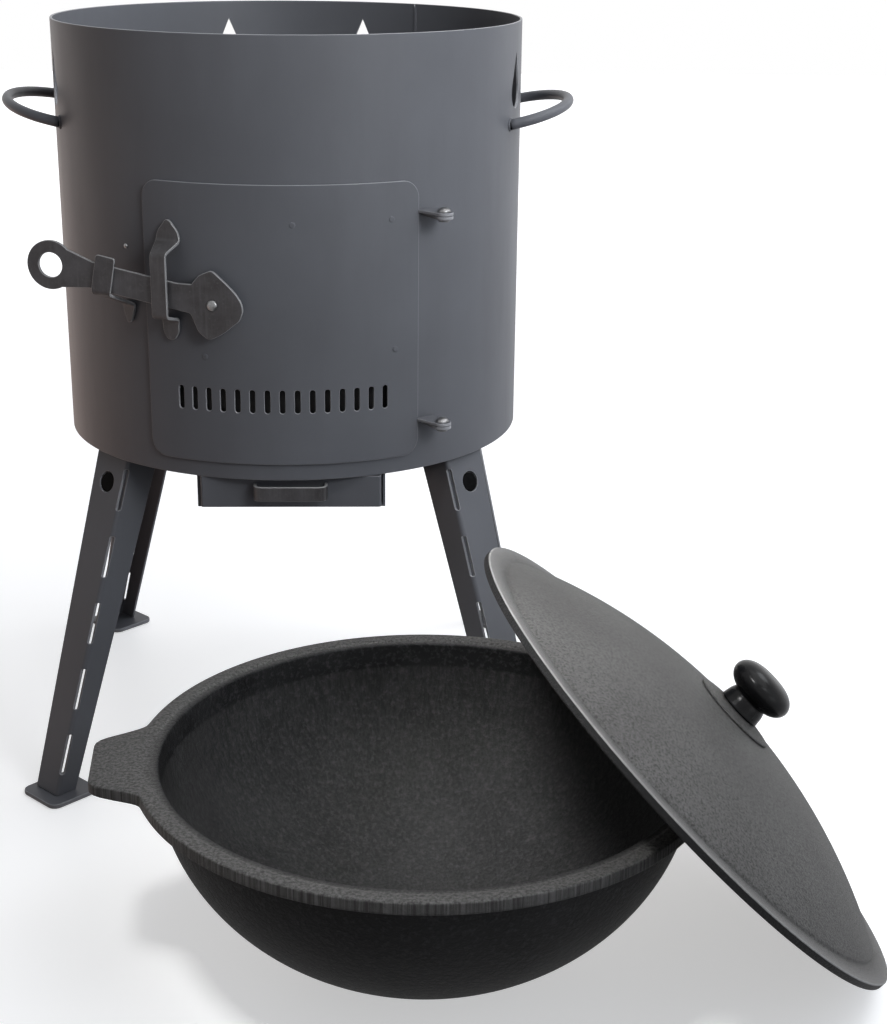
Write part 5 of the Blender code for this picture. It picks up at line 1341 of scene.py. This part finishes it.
def lug_reach(azimuths):
    """The flange's radius round the cauldron: the larger of the circle and the lugs' outline, blended by
    (a + b + sqrt((a - b)^2 + e^2)) / 2, less the blend's own lift at the circle."""
    half = np.array([
        (CAULDRON_LUG_TIP, 0.0),
        (CAULDRON_LUG_TIP, CAULDRON_LUG_HALF_TIP * LUG_TIP_SHARES[0]),
        (CAULDRON_LUG_TIP - CAULDRON_LUG_BLEND, CAULDRON_LUG_HALF_TIP * LUG_TIP_SHARES[1]),
        (FLANGE_RADIUS * LUG_CIRCLE_SHARES[0], CAULDRON_LUG_HALF_ROOT * LUG_ROOT_SHARES[0]),
        (MOUTH_RADIUS * LUG_CIRCLE_SHARES[1], CAULDRON_LUG_HALF_ROOT * LUG_ROOT_SHARES[1]),
    ])
    loop = np.concatenate([half[1:][::-1] * [1.0, -1.0], half])
    loop = softened(loop, CAULDRON_LUG_ROUNDING, closed=False)
    lengths = lengths_along(loop)
    even = np.linspace(0.0, lengths[-1], LUG_OUTLINE_STEPS)
    loop = np.stack([np.interp(even, lengths, loop[:, axis]) for axis in (0, 1)], 1)
    bearings = np.degrees(np.arctan2(loop[:, 1], loop[:, 0]))
    reach = np.hypot(loop[:, 0], loop[:, 1])
    folded = (azimuths + 90.0) % 180.0 - 90.0
    hidden = MOUTH_RADIUS * LUG_HIDDEN_SHARE
    lug = np.interp(folded, bearings, reach, left=hidden, right=hidden)
    soft = CAULDRON_LUG_BLEND / 3
    return (FLANGE_RADIUS + lug + np.sqrt((FLANGE_RADIUS - lug) ** 2 + soft ** 2)) / 2


def make_cauldron():
    """The cast bowl: an elliptic shell with a flange that widens into two lugs.

    Down the bowl the radius is R cos t and the depth D sin t. Each profile point also has a share of the
    way out over the flange, by which the lugs stretch it.
    """
    top = FLOOR_GAP + BOWL_DEPTH
    turn = np.linspace(0.0, math.acos(BOWL_FLAT_RADIUS / BOWL_RADIUS), BOWL_OUTER_STEPS)[::-1]
    outer = np.stack([BOWL_RADIUS * np.cos(turn), top - BOWL_DEPTH * np.sin(turn)], 1)
    outer = outer[outer[:, 1] < top - FLANGE_THICKNESS - CAST_EDGE * BOWL_END_SHARE]
    foot = np.concatenate([[[BOWL_FLAT_RADIUS * FOOT_START_SHARE, FLOOR_GAP]], outer[1:]])
    outer = np.concatenate([[[0.0, FLOOR_GAP]], softened(foot, CAST_EDGE, closed=False, steps=1)])
    under = top - FLANGE_THICKNESS
    rim = np.array([
        (outer[-1][0], outer[-1][1]),
        (BOWL_RADIUS, under),
        (FLANGE_RADIUS, under),
        (FLANGE_RADIUS, top),
        (MOUTH_RADIUS + LEDGE_WIDTH, top),
        (MOUTH_RADIUS + LEDGE_WIDTH - LEDGE_DROP, top - LEDGE_DROP),
        (MOUTH_RADIUS, top - LEDGE_DROP),
    ])
    inner_turn = np.linspace(0.0, math.pi / 2, BOWL_INNER_STEPS)
    depths = (BOWL_DEPTH - BOWL_WALL) * np.sin(inner_turn)
    inner = np.stack([MOUTH_RADIUS * np.cos(inner_turn), top - depths], 1)
    inner[-1, 0] = 0.0
    inner = inner[BOWL_INNER_START:]
    soft_rim = softened(np.concatenate([rim, inner[:1]]), CAST_EDGE, closed=False, steps=5)
    between = []
    for start, end in zip(soft_rim, soft_rim[1:]):
        count = max(1, int(np.ceil(np.linalg.norm(end - start) / (CAST_EDGE * CAST_STEP_SHARE))))
        between.append(start + (end - start) * (np.arange(count) / count)[:, None])
    profile = np.concatenate([outer[:-1], *between, inner])
    share = np.clip((profile[:, 0] - BOWL_RADIUS) / (FLANGE_RADIUS - BOWL_RADIUS), 0.0, 1.0)
    ground_and_sheen = (profile[:, 0] - MOUTH_RADIUS) / (FLANGE_RADIUS - MOUTH_RADIUS) * GROUND_RISE_SHARE
    ground_and_sheen = np.clip(ground_and_sheen, 0.0, 1.0)
    ground_and_sheen *= profile[:, 1] > under - CAST_EDGE / 2
    # Painted sheen: the inside gets a share of the paler ground tone.
    ground_and_sheen[-len(inner):] = INSIDE_PAINTED_SHEEN_SHARE
    azimuths = np.linspace(0.0, 360.0, TURN_STEPS * 2, endpoint=False)
    stretch = lug_reach(azimuths) - FLANGE_RADIUS
    radius = profile[:, 0, None] + share[:, None] * stretch
    onto_lug = np.clip(stretch / (CAULDRON_LUG_TIP - FLANGE_RADIUS) * 2, 0.0, 1.0)
    sunk = CAULDRON_LUG_DROP * onto_lug * share[:, None]
    height = profile[:, 1, None] - sunk
    bearing = np.radians(azimuths + BEARING)
    points = np.stack([radius * np.cos(bearing), radius * np.sin(bearing), height], -1) + CAULDRON
    wear_and_painted_light = np.repeat(ground_and_sheen[:, None], len(azimuths), 1)
    piece("cauldron_bowl", carried(points, False, True, wear_and_painted_light), IRON, "cauldron_body", "cauldron")


def lid_place():
    """The lid's frame: Z out of its top, its rim plane at Z = 0."""
    bearing = math.radians(BEARING)
    lean = math.radians(LID_LEAN)
    level = np.array([math.cos(bearing), math.sin(bearing), 0.0])
    z_axis = level * math.sin(lean) + UP * math.cos(lean)
    x_axis = level * math.cos(lean) - UP * math.sin(lean)
    lift = FLANGE_RADIUS * math.sin(lean) + FLOOR_GAP
    origin = CAULDRON + level * LID_SHIFT + UP * lift
    return origin, x_axis, np.cross(z_axis, x_axis), z_axis


def cap_height(radius, cap_radius):
    """Height over the rim plane of a sphere: apex - R + sqrt(c^2 - r^2)."""
    return LID_APEX - LID_CAP_RADIUS + np.sqrt(cap_radius ** 2 - np.asarray(radius) ** 2)


def make_lid():
    """The lid: a flat flange, a shallow dome, and its knob on a raised plate."""
    place = lid_place()
    start = FLANGE_RADIUS - LID_FLANGE_WIDTH
    across = np.linspace(start, SCREW_HOLE, LID_STEPS)
    over_dome = np.stack([across, cap_height(across, LID_CAP_RADIUS)], 1)
    under = np.stack([across, cap_height(across, LID_CAP_RADIUS - LID_WALL)], 1)[::-1]
    rim = [
        (start - LID_WALL, 0.0),
        (FLANGE_RADIUS, 0.0),
        (FLANGE_RADIUS, LID_FLANGE_THICKNESS),
        (start + LID_EDGE, LID_FLANGE_THICKNESS),
    ]
    soft_rim = softened(np.concatenate([under[-1:], rim, over_dome[:1]]), LID_EDGE, closed=False)
    profile = np.concatenate([under[:-1], soft_rim, over_dome[1:]])
    # 1 on the pale ground rim, which also stands as a painted edge highlight.
    worn_and_painted_light = np.clip((profile[:, 0] - (FLANGE_RADIUS - LID_EDGE * GROUND_HIGHLIGHT_EDGE_SHARE)) / LID_EDGE, 0.0, 1.0)
    # Painted shade: the underside and the flange below its top edge get -1, which the finish paints near
    # black.
    below = profile[:, 1] < LID_FLANGE_THICKNESS - LID_EDGE * PAINTED_SHADE_EDGE_SHARE
    below[len(profile) - len(over_dome):] = False
    worn_and_painted_light[below] = -1.0
    piece("lid_dome", turned(profile, TURN_STEPS, place, worn_and_painted_light), LID, "lid_body", "lid")

    top = LID_APEX + KNOB_PLATE_RISE
    seat = cap_height(KNOB_PLATE_RADIUS, LID_CAP_RADIUS)
    boss = np.array([
        (SCREW_HOLE, float(cap_height(SCREW_HOLE, LID_CAP_RADIUS)) + GAP),
        (KNOB_PLATE_RADIUS, float(seat) + GAP),
        (KNOB_PLATE_RADIUS, float(seat) + GAP + KNOB_PLATE_RISE / 2),
        (KNOB_NECK_RADIUS * KNOB_PLATE_STEP_SHARE, top),
        (SCREW_HOLE, top),
    ])
    boss = turned(softened(boss, GAP * 3), KNOB_TURN_STEPS, place)
    piece("lid_boss", boss, LID, "lid_body", "knob_plate")

    base = top + GAP
    neck = base + KNOB_NECK_HEIGHT
    crown = base + KNOB_HEIGHT
    half = (crown - neck) / 2
    turn = np.radians(np.linspace(KNOB_TURN_START, 90.0, KNOB_STEPS))
    ball = np.stack([
        KNOB_RADIUS * np.maximum(np.cos(turn), 0.0) ** KNOB_FULLNESS,
        (neck + crown) / 2 + half * np.sin(turn),
    ], 1)
    ball[-1, 0] = 0.0
    foot = [
        (SCREW_HOLE, base),
        (KNOB_NECK_RADIUS, base),
        (KNOB_NECK_RADIUS * KNOB_FOOT_SHARES[0], neck - KNOB_NECK_HEIGHT * KNOB_FOOT_SHARES[1]),
    ]
    lower = softened(np.concatenate([foot, ball[:1]]), GAP * 6, closed=False)
    profile = np.concatenate([[[0.0, base]], lower[:-1], ball])
    piece("knob_turning", turned(profile, KNOB_TURN_STEPS, place), KNOB, "lid_body", "lid_knob")


def make_camera():
    """The camera where the photograph was taken from, as fitted to it."""
    camera = bpy.data.objects.new("camera", bpy.data.cameras.new("camera"))
    bpy.context.scene.collection.objects.link(camera)
    camera.data.sensor_width = CAMERA_SENSOR_MM
    camera.data.lens = CAMERA_LENS_MM
    turn = Matrix.Rotation(math.radians(CAMERA_PAN), 4, "Z")
    turn = turn @ Matrix.Rotation(math.radians(90.0 + CAMERA_TILT), 4, "X")
    turn = turn @ Matrix.Rotation(math.radians(CAMERA_ROLL), 4, "Z")
    camera.matrix_world = Matrix.Translation(Vector(STOVE) + Vector(CAMERA_PLACE)) @ turn
    bpy.context.scene.camera = camera


def seen_rays(tree, path):
    """1 for the rays that show the background: the camera's, and those in metal and glass."""
    seen = combined(tree, path.outputs["Is Camera Ray"], path.outputs["Is Glossy Ray"], "MAXIMUM")
    return combined(tree, seen, path.outputs["Is Transmission Ray"], "MAXIMUM")


def make_floor():
    """A pale matt floor that keeps the shadows and shows white where it is open."""
    made = bpy.data.materials.new("studio_floor")
    made.use_nodes = True
    tree = made.node_tree
    shader = tree.nodes["Principled BSDF"]
    shader.inputs["Roughness"].default_value = 0.45
    shader.inputs["Specular IOR Level"].default_value = 0.25
    path = tree.nodes.new("ShaderNodeLightPath")
    split = tree.nodes.new("ShaderNodeSeparateXYZ")
    place = tree.nodes.new("ShaderNodeTexCoord").outputs["Object"]
    socket(tree, place, split.inputs[0])
    left = ranged(tree, split.outputs["X"], *FLOOR_WARM_X, 1.0, 0.0)
    behind = ranged(tree, split.outputs["Y"], *FLOOR_WARM_Y, FLOOR_WARM_FRONT_SHARE, 1.0)
    left = combined(tree, left, behind, "MULTIPLY")
    bounce = blended(tree, left, FLOOR_MIDDLE_TONE, FLOOR_WARM_TONE)
    bounce = over(tree, split.outputs["X"], *FLOOR_COOL_X, 1.0, bounce, FLOOR_COOL_TONE)
    tone = blended(tree, path.outputs["Is Camera Ray"], bounce, FLOOR_SEEN_TONE)
    socket(tree, tone, shader.inputs["Base Color"])
    seen = seen_rays(tree, path)
    shader.inputs["Emission Color"].default_value = (1.0, 1.0, 1.0, 1.0)
    reach = tree.nodes.new("ShaderNodeVectorMath")
    reach.operation = "LENGTH"
    socket(tree, place, reach.inputs[0])
    glow = ranged(tree, reach.outputs["Value"], *FLOOR_GLOW_REACH, *FLOOR_GLOW_SHARES)
    socket(tree, combined(tree, seen, glow, "MULTIPLY"), shader.inputs["Emission Strength"])
    half = FLOOR_HALF_SIDE
    mesh = bpy.data.meshes.new("studio_floor")
    signs = ((-1, -1), (1, -1), (1, 1), (-1, 1))
    mesh.from_pydata([(x * half, y * half, -FLOOR_DROP) for x, y in signs], [], [(0, 1, 2, 3)])
    mesh.materials.append(made)
    floor = bpy.data.objects.new("studio_floor", mesh)
    bpy.context.scene.collection.objects.link(floor)


def make_world():
    """Soft studio surroundings: white to the camera, and for light dim and warm on the left, brighter and
    cool on the right and above."""
    world = bpy.data.worlds.new("studio")
    bpy.context.scene.world = world
    world.use_nodes = True
    tree = world.node_tree
    tree.nodes.clear()
    way = tree.nodes.new("ShaderNodeTexCoord").outputs["Generated"]
    split = tree.nodes.new("ShaderNodeSeparateXYZ")
    socket(tree, way, split.inputs[0])
    side = ranged(tree, split.outputs["X"], *RIGHT_FROM, 0.0, 1.0)
    tone = blended(tree, side, LEFT_TONE, RIGHT_TONE)
    tone = over(tree, split.outputs["Y"], *BEHIND_FROM, 1.0, tone, BEHIND_TONE)
    above = blended(tree, side, ABOVE_LEFT_TONE, ABOVE_RIGHT_TONE)
    tone = over(tree, split.outputs["Z"], *ABOVE_FROM, 1.0, tone, above)
    light = tree.nodes.new("ShaderNodeBackground")
    socket(tree, tone, light.inputs["Color"])
    white = tree.nodes.new("ShaderNodeBackground")
    white.inputs["Color"].default_value = (1.0, 1.0, 1.0, 1.0)
    path = tree.nodes.new("ShaderNodeLightPath")
    mix = tree.nodes.new("ShaderNodeMixShader")
    socket(tree, seen_rays(tree, path), mix.inputs["Fac"])
    socket(tree, light.outputs["Background"], mix.inputs[1])
    socket(tree, white.outputs["Background"], mix.inputs[2])
    result = tree.nodes.new("ShaderNodeOutputWorld")
    socket(tree, mix.outputs["Shader"], result.inputs["Surface"])


def make_lamp(name, place, target, size, power, colour, spread):
    """A square soft lamp that looks at a target, its light held within the spread in degrees."""
    data = bpy.data.lights.new(name, "AREA")
    data.shape = "RECTANGLE"
    data.size, data.size_y = size
    data.energy = power
    data.color = colour
    data.spread = math.radians(spread)
    lamp = bpy.data.objects.new(name, data)
    bpy.context.scene.collection.objects.link(lamp)
    lamp.location = place
    lamp.rotation_euler = (Vector(target) - Vector(place)).to_track_quat("-Z", "Y").to_euler()


make_camera()
make_world()
make_floor()
for lamp_values in LAMPS:
    make_lamp(*lamp_values)
make_drum()
make_door()
make_hinges()
make_latch()
make_guide()
make_keeper()
keeper_rivet_place = wall_frame(KEEPER_RIVET_AZIMUTH, DRUM_RADIUS, KEEPER_RIVET_HEIGHT)
small_rivet("keeper_rivet", RIVET_RISE * 2, keeper_rivet_place, "stove_body")
make_side_handles()
make_drawer()
make_legs()
make_cauldron()
make_lid()
refinish(SOOT, "hearth_plate", "fire_grate", "door_heat_shield")
refinish(PAINT, "drawer_housing")
refinish(BARE, "knob_screw", "knob_washer")
# In this loop the studs take painted shade: dead black for the shadow inside the legs' holes.
for corner_name in ("front_left", "front_right", "back_left", "back_right"):
    refinish(SOOT, "leg_bracket_" + corner_name)
    refinish(HOLE_SHADE, "leg_stud_" + corner_name)
for rivet_number in range(len(RIVET_PLACES)):
    refinish(PAINT, "shield_rivet_%d" % (rivet_number + 1))
